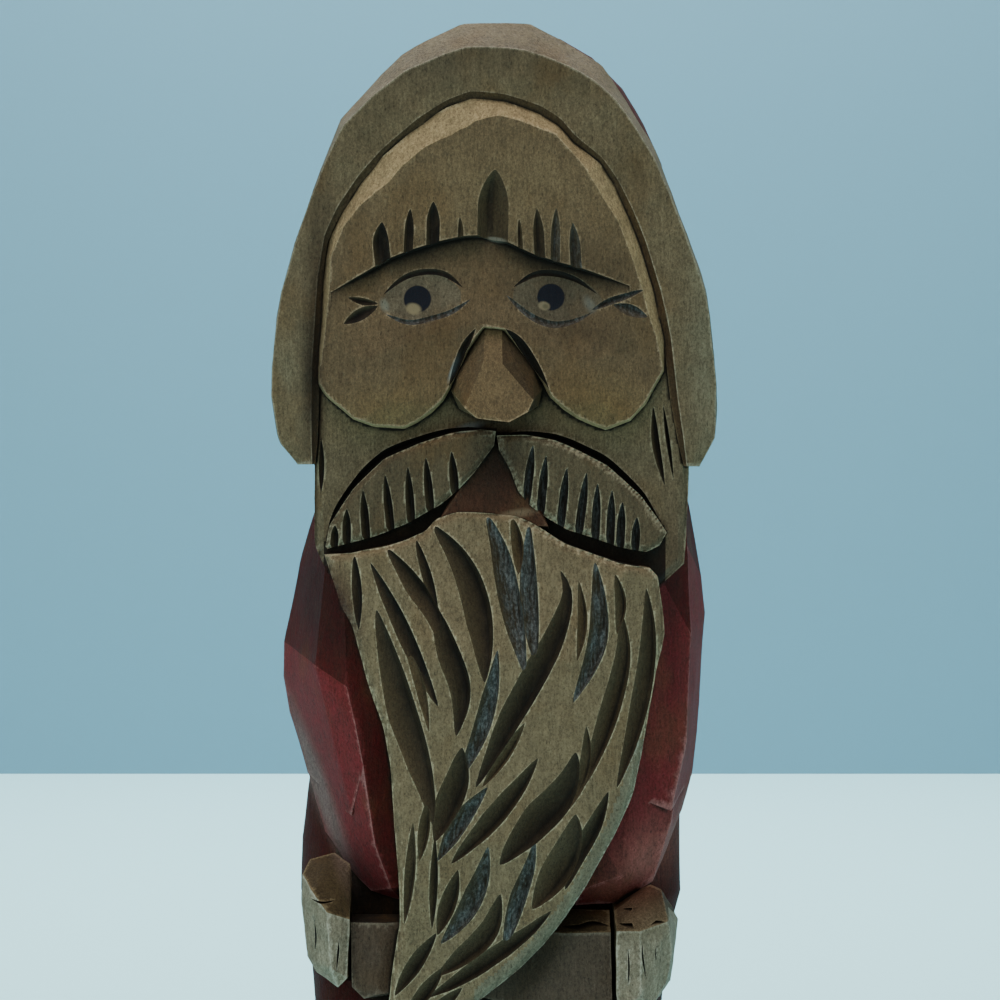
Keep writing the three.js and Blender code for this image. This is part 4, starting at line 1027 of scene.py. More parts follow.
hair = {
    "outline": [
        (-36, 226), (-36, 187), (-33, 180), (33, 178), (38.6, 183), (39.6, 202), (37, 226),
    ],
    "front": 26.6,
    # the groove under the moustache is painted black as shadow
    "groove": 1.5,  # how far the black groove reaches above the moustache's lower line
    "grooveHalf": 34.4,
    "stop": {"width": 2.4, "depth": 2.2, "rise": 0.2},  # the cut along the moustache's upper line
    "strandDepth": 1.3,
    "strands": [  # line, width
        ([(-34.8, 209.4), (-34.9, 199.9), (-34.9, 196)], 1.5), ([(32, 215.6), (32.6, 207), (34.6, 198)], 1.5),
        ([(36.2, 220), (37.7, 210), (38.2, 201)], 1.4), ([(34, 216), (35.2, 207), (36.4, 199)], 0.8),
    ],
}
moustacheRise = {"front": 31.6, "fall": 0.085}
rib = {"width": 1.5, "depth": 1.5}
moustache = [
    {
        "upper": [
            (-33.6, 186.6), (-32.8, 190.8), (-28.2, 198), (-21.8, 204.2), (-14.6, 207.4),
            (-8.6, 209.3), (-2.6, 210.1), (0.6, 209.8),
        ],
        "lower": [
            (0.2, 206.9), (-0.9, 205.4), (-3.8, 201.5), (-6.8, 198.1), (-10.7, 195.1), (-16.7, 191.5),
            (-24.2, 188.5), (-33.2, 186.2),
        ],
        "ribs": [  # top, foot
            ((-31.8, 191.2), (-32, 186)), ((-29.4, 194.6), (-29.4, 186)), ((-26.2, 198.6), (-25.3, 186)),
            ((-21.8, 201.8), (-20.2, 187)), ((-17.2, 203.4), (-16.2, 188.4)), ((-13.6, 205.2), (-12.3, 191)),
            ((-8.4, 206.2), (-7.4, 195)),
        ],
        "zone": "darkCut",
    },
    {
        "upper": [
            (0.8, 208.9), (6.4, 209), (12.4, 207.9), (17.8, 205.6), (22.6, 203), (26.2, 200),
            (29.6, 196.8), (32.6, 192.8), (34.9, 189.4),
        ],
        "lower": [
            (33.5, 186.8), (30.8, 185.5), (25.6, 186.5), (20, 188.4), (14.6, 190.3), (11, 192.3),
            (7.7, 194.6), (5.2, 197.6), (3.4, 202), (1.2, 206),
        ],
        "ribs": [
            ((8, 207.6), (6.4, 194.6)), ((10.6, 205.6), (9.2, 191.6)), ((14.8, 203.2), (13.2, 189)),
            ((18.8, 202.2), (16.8, 187.6)), ((20.9, 200), (20.3, 186)), ((23.8, 198.6), (23.3, 185)),
            ((25.9, 196.2), (25.3, 185)), ((28.8, 193), (28.3, 184)),
        ],
        "zone": "ribCut",
    },
]


def hairFront(x, z):
    # flat
    return hair["front"] + 0 * x


def hairZone(x, z):
    # painted shadow: black in the deep groove under the moustache
    foot = heightAt([p for half in moustache for p in half["lower"]], x)
    inside = (z < foot + hair["groove"]) & (np.abs(x) < hair["grooveHalf"])
    return np.where(inside, zoneOf["paintedShadowBlack"], zoneOf["hair"])


def moustacheFront(x, z):
    # falls back evenly from the middle to both tips
    return moustacheRise["front"] - moustacheRise["fall"] * np.abs(x)


def hairLayer():
    # the hair around the face, with a groove over the moustache and a few strands
    outline = evenly(np.array(hair["outline"] + hair["outline"][:1], float), 120)[:-1]
    spec = {
        "front": hairFront, "back": 0, "pitch": 0.85, "zone": "hair", "zoneAt": hairZone,
        "drop": 1.5, "edge": 1.8, "relief": 0.4, "size": (4.5, 6, 10), "seed": 81, "rows": 14,
    }
    cuts, stop = [], hair["stop"]
    # the cut along each half's upper line is painted black as the moustache's shadow
    for half in moustache:
        line = [(x, z + stop["rise"]) for x, z in half["upper"]]
        cuts.append(gouge(line, stop["width"], stop["depth"], hairFront, "paintedShadowBlack", steps=50, across=8))
    for line, width in hair["strands"]:
        cuts.append(gouge(line, width, hair["strandDepth"], hairFront, "darkCut", "flute"))
    return without(layer(outline, spec), cuts)


def moustacheHalf(half, seed):
    # a raised leaf with ribs cut between its lines
    outline = np.vstack([knifeLine(half["upper"], 70), knifeLine(half["lower"], 70)])
    spec = {
        "front": moustacheFront, "back": 20, "pitch": 0.55, "zone": "moustache", "wallZone": "darkCut",
        "drop": 0.8, "edge": 1.1, "relief": 0.16, "size": (3, 4, 8), "seed": seed, "rows": 8,
    }
    cuts = [
        gouge(ends, rib["width"], rib["depth"], moustacheFront, half["zone"], "slot", steps=20, across=8)
        for ends in half["ribs"]
    ]
    return without(layer(outline, spec), cuts)


# Beard

beard = {
    "left": [
        (-33.9, 185), (-32.5, 180.8), (-30.2, 174.1), (-28.3, 170.9), (-27, 166.4), (-24.8, 158.5),
        (-21.9, 150.5), (-20.6, 143.6), (-19.9, 135.1), (-19.2, 124.6), (-18.7, 119), (-18.7, 111.1),
        (-19.6, 105.5), (-20.8, 96.3), (-21.5, 91.5), (-22, 85.4),
    ],
    "right": [
        (-19.5, 84.4), (-14.7, 87.9), (-7, 93), (-1.4, 96.6), (5.1, 101.9), (10.2, 107), (14.6, 112.6),
        (18.6, 118.8), (21.9, 124.8), (25.4, 131.4), (28.1, 137.8), (29.6, 144.9), (31, 152.4),
        (32.5, 160.9), (34.3, 169.3), (34, 174.3), (32.9, 180.8),
    ],
    "top": [
        (31.4, 182.4), (25.4, 183.4), (14.6, 187.3), (7.6, 191.5), (4.2, 192.9), (-1.8, 193.4),
        (-7.2, 193.6), (-11.4, 192.2), (-13.6, 189.7), (-17.6, 188), (-22.1, 186.7), (-28.5, 185.4),
    ],
    "planes": [
        {"at": (0, 150), "front": 35.6},
        {"at": (0, 164), "front": 35.6, "up": 0.15},
        {"at": (0, 128), "front": 35.6, "up": -0.1},
        {"at": (-13, 150), "front": 35.6, "right": -0.3, "up": 0.02},
        {"at": (17, 150), "front": 35.6, "right": 0.22, "up": 0.02},
        {"at": (12, 125), "front": 35.6, "right": 0.16, "up": -0.16},
    ],
    "border": {"width": 2.6, "below": 148},
    "depth": {"flat": 0.5, "share": 0.36},  # of a lock's cut, and so much of its width
}
# Locks are parted by single passes of the tool: line, width, finish, how dark
locks = [
    ([(-28.1, 186.4), (-27.4, 177.8), (-27.1, 168.6)], 1.9, "darkCut", 1.0),
    ([(-25.5, 185), (-19.8, 173.2), (-15.8, 164.6), (-10.4, 153.6)], 3.1, "darkCut", 1.0),
    ([(-24.3, 176.5), (-21.7, 165.2), (-19.0, 154.9), (-14.2, 139.9), (-11.6, 129)], 5.6, "darkCut", 0.7),
    ([(-22.4, 187.6), (-17.0, 180.1), (-12.4, 173.2), (-9.5, 165.3)], 3.6, "darkCut", 0.8),
    ([(-12.6, 177), (-9.5, 166.3), (-6.9, 157.7), (-7.8, 147.8)], 4.4, "darkCut", 0.85),
    ([(-15.9, 189.4), (-13.2, 180.1), (-10.7, 169.9)], 2.0, "darkCut", 0.9),
    ([(-13.6, 192.4), (-7.4, 184.1), (-4.3, 176.6), (-2.5, 167.5), (-2.0, 157.8)], 5.2, "darkCut", 0.75),
    ([(-2.7, 195.6), (0.9, 185.8), (2.8, 176.6), (6.5, 159.6)], 4.2, "sheenCut", 0.75),
    ([(7.0, 193.4), (6.6, 182.4), (7.1, 173.2), (8.5, 161.3)], 3.4, "sheenCut", 0.9),
    ([(11.9, 184.5), (14.3, 177.8), (12.5, 170.9), (8.5, 162.9), (4.0, 154.9), (-1.2, 144.5), (-4.8, 136.9)],
     4.8, "darkCut", 0.85),
    ([(20.0, 185.1), (20.7, 175.5), (20.3, 167.6), (14.9, 154.4)], 3.7, "sheenCut", 0.7),
    ([(24.4, 177.6), (25.6, 166.3), (23.4, 156.0), (20.0, 145.7), (15.6, 135.5)], 3.8, "darkCut", 0.5),
    ([(30.0, 181.1), (30.7, 170.9), (29.7, 159.5), (27.1, 148.0), (23.8, 136.7)], 3.8, "darkCut", 0.65),
    ([(0.9, 167.9), (-0.7, 158.3), (-3.3, 149.1), (-7.7, 138.9)], 3.3, "sheenCut", 0.7),
    ([(-6.4, 148.1), (-7.5, 141.2), (-9.5, 135.6), (-12.3, 127.4)], 5.0, "darkCut", 0.7),
    ([(-0.8, 139.7), (-6.1, 133.3), (-11.7, 123.6)], 3.2, "sheenCut", 0.7),
    ([(9.5, 146.2), (5.7, 140.6), (0.1, 133.6), (-9.5, 122.8)], 3.8, "darkCut", 0.65),
    ([(16.4, 147.6), (14.0, 139.5), (7.9, 132.4), (0.0, 122.6)], 6.4, "darkCut", 0.8),
    ([(23.2, 139.1), (20.2, 132.2), (16.6, 125.5), (13.7, 117.1)], 3.4, "darkCut", 0.8),
    ([(16.2, 134.9), (14.6, 127.1), (11.3, 121.0), (6.9, 113.8)], 6.2, "darkCut", 0.55),
    ([(8.4, 129.8), (7.1, 123.8), (4.8, 117.0), (1.3, 104.2)], 3.1, "sheenCut", 0.8),
    ([(-1.0, 128.4), (-3.0, 120.4), (-6.1, 113.6), (-11.6, 106.4)], 3.9, "sheenCut", 0.6),
    ([(-7.0, 123.1), (-8.9, 117.0), (-11.6, 108.4)], 3.2, "darkCut", 0.6),
    ([(-11.6, 129.8), (-12.0, 119.8), (-12.4, 109.0)], 1.6, "darkCut", 0.7),
    ([(1.5, 118.9), (-1.3, 110.3), (-6.7, 104.9), (-12.7, 100.1)], 4.2, "darkCut", 0.6),
    ([(12.7, 115.3), (6.8, 110.1), (-0.5, 104.9), (-7.8, 99.8), (-14.9, 95.6)], 3.4, "darkCut", 0.75),
    ([(-11.0, 110.4), (-15.1, 104.6), (-20.4, 96.1)], 3.0, "darkCut", 0.7),
    ([(-9.6, 103.4), (-14, 97.4), (-18.8, 91)], 2.8, "darkCut", 0.6),
    ([(-5.6, 99.2), (-12.4, 93.2), (-18.6, 87.4)], 3.0, "darkCut", 0.6),
    ([(24.0, 182), (25.2, 175.5), (24.4, 168.6)], 2.2, "darkCut", 0.35),
    ([(-13.2, 137.1), (-13.9, 131.1), (-15.0, 123.3)], 2.2, "darkCut", 0.35),
    ([(18.4, 152), (18.2, 144), (16.6, 138.9), (14.2, 133.4)], 2.4, "darkCut", 0.35),
    ([(-16.0, 133), (-16.9, 121.3), (-18.2, 109.8)], 2.2, "darkCut", 0.4),
    ([(3.4, 193.6), (4.6, 187), (4.9, 180.4)], 2.4, "darkCut", 0.3),
    ([(-18.6, 171), (-15.0, 160), (-12.6, 149)], 2.0, "darkCut", 0.25),
    ([(16.8, 181), (17.6, 172), (16.4, 163)], 1.9, "darkCut", 0.25),
    ([(6.6, 152.6), (2.0, 145.4), (-2.6, 138.6)], 2.2, "darkCut", 0.25),
]


def beardFront(x, z):
    # a slab with six knife planes
    return frontOf(beard["planes"], x, z)


def beardZone(x, z):
    # the right lower border is paler
    border = beard["border"]
    near = lineDistance(x, z, beard["right"][3:14]) < border["width"]
    return np.where(near & (z < border["below"]), zoneOf["beardPale"], zoneOf["beard"])


def beardLayer():
    # the slab, its wall painted black as shadow under the moustache, parted by the locks
    sides = [("left", 110), ("right", 110), ("top", 60)]
    outline = np.vstack([knifeLine(beard[name], count) for name, count in sides])
    spec = {
        "front": beardFront, "back": 12, "pitch": 0.66, "zone": "beard", "zoneAt": beardZone,
        "wallZone": "hair", "darkAbove": 182.6, "drop": 0.9, "edge": 1.3,
        "relief": 0.34, "size": (4, 6, 14), "seed": 91, "rows": 14,
    }
    cuts = []
    for line, width, zone, dark in locks:
        depth = beard["depth"]["share"] * width + beard["depth"]["flat"]
        cuts.append(gouge(line, width, depth, beardFront, zone, "flute", dark, steps=30, across=11))
    return without(layer(outline, spec), cuts)


# The whole figure

def shadedCoat():
    # the coat, painted black as shadow in the hollow between the cuffs under the sleeves
    form = stack(coat)
    x, front, z = form["points"][form["triangles"]].mean(axis=1).T
    c = coat["shade"]
    hollow = (front > c["front"]) & (z > c["low"]) & (z < c["high"]) & (np.abs(x) < c["half"])
    form["zones"] = np.where(hollow, zoneOf["paintedShadowBlack"], form["zones"])
    return form


def carvedFigure():
    # body and head are joined and cut each by itself, then joined with the beard
    body = joined([
        shadedCoat(), base(), boot(-1), boot(1), stack(hem), *arms(), stack(hood), furBrim(),
    ])
    body = without(body, folds() + crackCuts())
    print("body joined:", len(body.data.polygons), "faces")
    head = without(without(faceLayer(), [browCut()]), faceCuts())
    print("face cut:", len(head.data.polygons), "faces")
    halves = [moustacheHalf(half, 85 + i) for i, half in enumerate(moustache)]
    mouth = chunk("mouth", mouthCorners, finish("mouth"))
    head = joined([head, hairLayer(), nose(), mouth, *halves])
    print("head joined:", len(head.data.polygons), "faces")
    return joined([body, head, beardLayer()])


figure = carvedFigure()
print("figure joined:", len(figure.data.polygons), "faces")


# Reading the carving: how much wood is around each point

def filledCells(points, triangles, cell, low, shape):
    # Columns of cells run along y. Each triangle is crossed by the columns inside its outline in
    # x and z, and a running sum of entries and exits along y says which cells are wood.
    corners = (points[triangles] - low) / cell
    flat = corners[..., [0, 2]]
    first = np.ceil(flat.min(axis=1)).astype(int)
    span = np.maximum(np.floor(flat.max(axis=1)).astype(int) - first + 1, 0)
    count = span.prod(axis=1)
    owner = np.repeat(np.arange(len(corners)), count)
    place = np.arange(count.sum()) - np.repeat(np.cumsum(count) - count, count)
    across = span[owner, 1]
    column = first[owner] + np.stack([place // across, place % across], axis=1)
    a, b, c = (flat[owner, k] - column for k in range(3))
    turn = lambda u, v: u[:, 0] * v[:, 1] - u[:, 1] * v[:, 0]
    area = turn(b - a, c - a)
    shares = np.stack([turn(b, c), turn(c, a), turn(a, b)]) / np.where(area == 0, 1, area)
    hit = (shares >= 0).all(axis=0) & (area != 0)
    depth = (shares * corners[owner, :, 1].T).sum(axis=0)[hit] + 0.5
    whole = np.floor(depth).astype(int)
    part, sign = depth - whole, np.sign(area[hit])
    change = np.zeros(shape, np.float32)
    np.add.at(change, (column[hit, 0], whole, column[hit, 1]), sign * (1 - part))
    np.add.at(change, (column[hit, 0], whole + 1, column[hit, 1]), sign * part)
    return np.clip(np.cumsum(change, axis=1), 0, 1)


def blurred(field, radius):
    # three running means of 2 radius + 1 cells along each axis
    for axis in (0, 1, 2, 0, 1, 2):
        pad = [(radius + 1, radius) if k == axis else (0, 0) for k in range(3)]
        total = np.cumsum(np.pad(field, pad), axis=axis, dtype=np.float64)
        n = field.shape[axis]
        upper = np.take(total, np.arange(2 * radius + 1, 2 * radius + 1 + n), axis=axis)
        lower = np.take(total, np.arange(n), axis=axis)
        field = ((upper - lower) / (2 * radius + 1)).astype(np.float32)
    return field


def sampled(field, points, cell, low):
    # the field at points between the cells, from the eight cells around
    q = (points - low) / cell
    whole = np.floor(q).astype(int)
    part = q - whole
    value = np.zeros(len(points))
    for step in itertools.product((0, 1), repeat=3):
        weight = np.prod(np.where(step, part, 1 - part), axis=1)
        index = whole + np.array(step)
        value += weight * field[index[:, 0], index[:, 1], index[:, 2]]
    return value


def meshArrays(mesh):
    # points, triangles, the finish of each triangle and the stain with its painted shade at each corner
    points = np.empty(len(mesh.vertices) * 3)
    mesh.vertices.foreach_get("co", points)
    triangles = np.empty(len(mesh.loops), np.int32)
    mesh.loops.foreach_get("vertex_index", triangles)
    zones = np.empty(len(mesh.polygons), np.int32)
    mesh.attributes["zone"].data.foreach_get("value", zones)
    stainAndShade = np.empty(len(mesh.loops))
    mesh.attributes["stainAndShade"].data.foreach_get("value", stainAndShade)
    return points.reshape(-1, 3), triangles.reshape(-1, 3), zones, stainAndShade


def bends(points, triangles):
    # the sharpest outward and inward bend at each point: the angle between the faces that meet
    # in an edge, outward if the second face falls away from the first one's plane
    faces, _ = normalsOf(points, triangles)
    edges = np.sort(triangles[:, [0, 1, 1, 2, 2, 0]].reshape(-1, 2), axis=1)
    code = edges[:, 0].astype(np.int64) * len(points) + edges[:, 1]
    order = np.argsort(code, kind="stable")
    pair = np.flatnonzero(code[order][1:] == code[order][:-1])
    one, two = order[pair] // 3, order[pair + 1] // 3
    angle = np.degrees(np.arccos(np.clip((faces[one] * faces[two]).sum(axis=1), -1, 1)))
    centre = points[triangles].mean(axis=1)
    falls = ((centre[two] - centre[one]) * faces[one]).sum(axis=1) < 0
    result = np.zeros((2, len(points)))
    for k, chosen in enumerate((falls, ~falls)):
        for end in (0, 1):
            np.maximum.at(result[k], edges[order[pair[chosen]], end], angle[chosen])
    return result


merging = {"points": 0.012, "slivers": 0.006, "longest": 1.5, "rounds": 3}


def cleaned(mesh):
    # The tiny slivers that the joins leave are merged away. Where that folds two triangles onto
    # the same three points, both go, and edges left open by it are drawn together.
    bm = bmesh.new()
    bm.from_mesh(mesh)
    bmesh.ops.triangulate(bm, faces=bm.faces)
    bmesh.ops.remove_doubles(bm, verts=bm.verts, dist=merging["points"])
    bmesh.ops.dissolve_degenerate(bm, edges=bm.edges, dist=merging["slivers"])
    bmesh.ops.triangulate(bm, faces=bm.faces)
    for _ in range(merging["rounds"]):
        seen = {}
        for face in bm.faces:
            seen.setdefault(frozenset(v.index for v in face.verts), []).append(face)
        twice = [face for same in seen.values() if len(same) > 1 for face in same[:2]]
        bmesh.ops.delete(bm, geom=twice, context="FACES")
        bad = [e for e in bm.edges if not e.is_manifold]
        if not bad:
            break
        short = [e for e in bad if e.link_faces and e.calc_length() < merging["longest"]]
        bmesh.ops.collapse(bm, edges=short)
        bm.verts.index_update()
    loose = [v for v in bm.verts if not v.link_faces]
    bmesh.ops.delete(bm, geom=loose, context="VERTS")
    openEdges = sum(not e.is_manifold for e in bm.edges)
    bm.to_mesh(mesh)
    bm.free()
    print("cleaned:", len(mesh.polygons), "triangles,", openEdges, "open edges")
    return mesh


# The field's cells, the room that it leaves around the figure, and over how many cells it is
# blurred to tell small ridges and hollows (fine) from deep corners (broad), where shade is painted
woodField = {"cell": 0.6, "below": 12.03, "above": 12, "fine": 1, "broad": 5}
points, triangles, zones, stainAndShade = meshArrays(cleaned(figure.data))
outward, inward = bends(points, triangles)
cell = woodField["cell"]
low = points.min(axis=0) - woodField["below"]
shape = tuple(np.ceil((points.max(axis=0) + woodField["above"] - low) / cell).astype(int))
wood = filledCells(points, triangles, cell, low, shape)
fine, broad = (sampled(blurred(wood, woodField[n]), points, cell, low) for n in ("fine", "broad"))
print("wood field:", shape, "share", round(float(wood.mean()), 3))


# Laid on the front: middle [x, z], half sizes, turn in degrees, softness, colour, share.
# tints are soft and coloured in point by point, spots are sharp and drawn by the shader. A tint
# stays in front of its reach. Some tints are painted shade and some spots painted glints, as marked.
tintReach = {"face": 20, "sleeve": -4}
tints = [
    # painted shade just under the brow, right and left
    ((10, 243), (15, 5), -8, 0.8, (66, 52, 34), 0.6),
    ((-12, 244), (12, 3.4), 12, 0.8, (72, 58, 38), 0.35),
    ((12, 236.2), (8, 4.4), 0, 0.6, (84, 76, 60), 0.5),
    ((-20, 213.4), (12, 5), 8, 0.9, (164, 138, 88), 0.4),
    ((22, 214.4), (9, 5.4), -8, 0.9, (164, 136, 84), 0.45),
    # painted shade under the right eye and under the left
    ((17, 229.5), (10, 3.6), -4, 0.9, (66, 54, 38), 0.5),
    ((-12, 229.8), (10, 3.2), 4, 0.9, (80, 66, 48), 0.4),
    ((-35.4, 236), (2.4, 26), -3, 0.7, (56, 38, 22), 0.8),
    ((-36.4, 219), (2, 13), 4, 0.7, (38, 28, 18), 0.9),
    ((1.2, 258), (2.4, 5), 0, 0.8, (60, 40, 24), 0.5),
    # painted shade under the moustache, over the top of the mouth
    ((0.6, 203), (5, 6), 0, 0.7, (46, 24, 16), 0.8),
    ((-13, 203), (20, 5), 30, 0.9, (84, 72, 50), 0.3),
    ((0, 259), (26, 12), 0, 0.9, (168, 146, 108), 0.45),
    ((42.6, 226), (3.4, 26), 2, 0.8, (160, 152, 126), 0.6),
    ((-42, 216), (3.4, 20), -4, 0.8, (152, 142, 114), 0.5),
    ((-34, 250), (5, 14), -30, 0.8, (120, 106, 84), 0.3),
    ((-8, 283), (13, 4), 12, 0.8, (84, 74, 58), 0.5),
    ((12, 281), (10, 4), -22, 0.8, (88, 72, 50), 0.5),
    ((28, 262), (8, 5), -50, 0.8, (94, 78, 56), 0.4),
    ((-24, 271), (8, 4), 42, 0.8, (100, 86, 64), 0.4),
    ((8.4, 101), (3.4, 12), -38, 0.6, (54, 44, 28), 0.75),
    ((31, 110.6), (7, 3), 0, 0.7, (152, 136, 108), 0.7),
]
# painted shade and light on the sleeves: paler pink on the left sleeve's outer strip (painted light), darker
# crimson on its upper facet and down the right sleeve's outer facet (painted shade); the last row lightens
# the right sleeve's lower end
sleeveTints = [
    ((-36.4, 136), (2.3, 19), 21, 0.45, (156, 132, 126), 0.75),
    ((-34, 174), (6.5, 12), 20, 0.35, (70, 8, 13), 0.85),
    ((36.6, 168), (2.6, 22), 0, 0.7, (84, 10, 16), 0.5),
    ((31, 122), (10, 6), 40, 0.8, (182, 108, 98), 0.85),
]
spots = [
    ((0.8, 248), (1.8, 0.5), -12, 0.4, (186, 180, 160), 0.6),
    # painted glints: a bluish highlight in the crease left of the nose, and one over the left half of the
    # moustache
    ((-7.7, 222.6), (0.5, 2.6), -22, 0.6, (136, 150, 152), 0.6),
    ((-4.8, 210.6), (2.4, 0.7), 12, 0.7, (108, 122, 124), 0.5),
    ((4.6, 193.2), (3.4, 0.8), 10, 0.7, (150, 132, 104), 0.4),
    ((-21.7, 234.9), (0.8, 1.3), 20, 0.6, (128, 130, 116), 0.5),
    ((19.3, 235.2), (0.9, 1.6), 30, 0.7, (116, 120, 112), 0.4),
    ((-15.1, 236.2), (2.75, 2.7), 0, 0.06, (12, 14, 25), 1.0),
    ((11.6, 236.6), (2.75, 2.7), 0, 0.06, (12, 14, 25), 1.0),
    ((-15.9, 234.2), (1.5, 1.1), -14, 0.3, (132, 117, 88), 0.95),
    ((10.2, 234.8), (1.15, 0.85), -14, 0.3, (126, 112, 86), 0.95),
    ((10.5, 234.7), (0.6, 0.5), -14, 0.4, (92, 84, 62), 0.8),
]


# What each reading is made from, where it starts and where it is full. Half a field's cells are
# wood around a flat face, fewer around a ridge and more in a hollow; bends are in degrees.
readings = {
    "ridge": (fine, 0.47, 0.22),
    "hollow": (fine, 0.53, 0.78),
    # deep corners, read for painted shade
    "deep": (broad, 0.54, 0.54 + 1 / 3),
    "edge": (outward, 14, 54),
    "crease": (inward, 16, 66),
}
sharpAngle = 24


def figureMesh():
    # the carving at its real size, with its finishes as colours and shares at each corner and
    # the reading of the wood at each point
    mesh = meshOf("carvedSanta", (points + (0, 0, drawing["base"])) * mm, triangles)
    corner = np.repeat(zones, 3)
    at = points[triangles.ravel()]
    layers = [(*t, tintReach["face"]) for t in tints] + [(*t, tintReach["sleeve"]) for t in sleeveTints]
    for name in finishParts[:2]:
        table = linear([f[name] for f in finishes.values()])
        colours = np.column_stack([table[corner], np.ones(len(corner))])
        for middle, half, turn, soft, tint, share, reach in layers:
            c, d = math.cos(math.radians(turn)), math.sin(math.radians(turn))
            right, up = at[:, 0] - middle[0], at[:, 2] - middle[1]
            far = np.hypot((c * right + d * up) / half[0], (c * up - d * right) / half[1])
            amount = share * np.clip((1 + soft - far) / (2 * soft), 0, 1) ** 1.5 * (at[:, 1] < -reach)
            colours[:, :3] += (linear(tint) - colours[:, :3]) * amount[:, None]
        setValues(mesh, name, "FLOAT_COLOR", "CORNER", colours)
    setValues(mesh, "stainAndShade", "FLOAT", "CORNER", stainAndShade)
    for name in finishParts[2:]:
        table = np.array([f.get(name, 0) for f in finishes.values()])
        setValues(mesh, name, "FLOAT", "CORNER", table[corner])
    for name, (value, start, full) in readings.items():
        setValues(mesh, name, "FLOAT", "POINT", np.clip((value - start) / (full - start), 0, 1))
    mesh.polygons.foreach_set("use_smooth", np.ones(len(mesh.polygons), bool))
    mesh.set_sharp_from_angle(angle=math.radians(sharpAngle))
    return mesh


# Shader maths

class Wire:
    # a socket that can be added, multiplied and so on with numbers or other sockets

    def __init__(self, board, socket):
        self.board = board
        self.socket = socket

    def math(self, operation, *others, clamp=False):
        # one Math node, clamped to 0..1 on demand
        settings = {"operation": operation, "use_clamp": clamp}
        return self.board.node("ShaderNodeMath", settings, [self, *others])

    def __add__(self, other):
        return self.math("ADD", other)

    def __radd__(self, other):
        return self.math("ADD", other)

    def __sub__(self, other):
        return self.math("SUBTRACT", other)

    def __rsub__(self, other):
        return self.board.lift(other).math("SUBTRACT", self)

    def __mul__(self, other):
        return self.math("MULTIPLY", other)

    def __rmul__(self, other):
        return self.math("MULTIPLY", other)

    def __pow__(self, other):
        return self.math("POWER", other)

    def clamp(self):
        # held between 0 and 1
        return self.math("ADD", 0.0, clamp=True)

    def above(self, low, high):
        # 0 below low, 1 above high, smooth between
        settings = {"interpolation_type": "SMOOTHSTEP"}
        return self.board.node("ShaderNodeMapRange", settings, [self, low, high, 0.0, 1.0])


class Board:
    # a material's node tree, to which every node is added by node() or mix()

    def __init__(self, material):
        material.use_nodes = True
        self.material = material
        self.tree = material.node_tree
        self.tree.nodes.clear()

    def node(self, kind, settings=None, inputs=(), output=0):
        # a node by its type, its settings and the values or wires of its sockets
        made = self.tree.nodes.new(kind)
        for key, value in (settings or {}).items():
            setattr(made, key, value)
        named = inputs.items() if isinstance(inputs, dict) else enumerate(inputs)
        for key, value in named:
            if isinstance(value, Wire):
                self.tree.links.new(value.socket, made.inputs[key])
            else:
                made.inputs[key].default_value = value
        return Wire(self, made.outputs[output]) if made.outputs else None

    def lift(self, number):
        # a number as a socket
        return self.node("ShaderNodeMath", {"operation": "ADD"}, [number, 0.0])

    def mix(self, share, a, b, kind="MIX"):
        # a share of colour b laid on colour a
        made = self.tree.nodes.new("ShaderNodeMix")
        made.data_type, made.blend_type = "RGBA", kind
        for socket, value in ((made.inputs[0], share), (made.inputs[6], a), (made.inputs[7], b)):
            if isinstance(value, Wire):
                self.tree.links.new(value.socket, socket)
            else:
                socket.default_value = value
        return Wire(self, made.outputs[2])

    def attribute(self, name, output="Fac"):
        # what figureMesh stored under a name
        return self.node("ShaderNodeAttribute", {"attribute_name": name}, output=output)


# What has settled on the paint, with the colours of the painted shade and the painted sheen:
# colours as in daylight, then the sizes (per mm), detail and roughness of the noises that spread it
patina = {
    "grime": (62, 48, 28), "patch": (110, 80, 44), "waxAndShade": (38, 28, 16), "cut": (22, 15, 8),
    "pore": (36, 26, 15), "tone": ((100, 92, 80), (255, 255, 252)), "cutSheen": ((66, 70, 70), (124, 128, 126)),
    "bump": 0.6, "bumpHeight": 0.0004, "specular": 0.25, "roughness": 0.8,
}
noises = {
    "patches": ((0.08, 0.08, 0.05), 3.0, 0.55),
    "mottle": ((0.42, 0.42, 0.26), 3.0, 0.6),
    "speckle": ((2.1, 2.1, 1.4), 2.0, 0.7),
    "fibre": ((1.7, 1.7, 0.2), 2.0, 0.6),
    "grit": ((4.4, 4.4, 3.2), 2.0, 0.7),
    "pores": ((3.4, 3.4, 0.8), 1.0, 0.55),
}


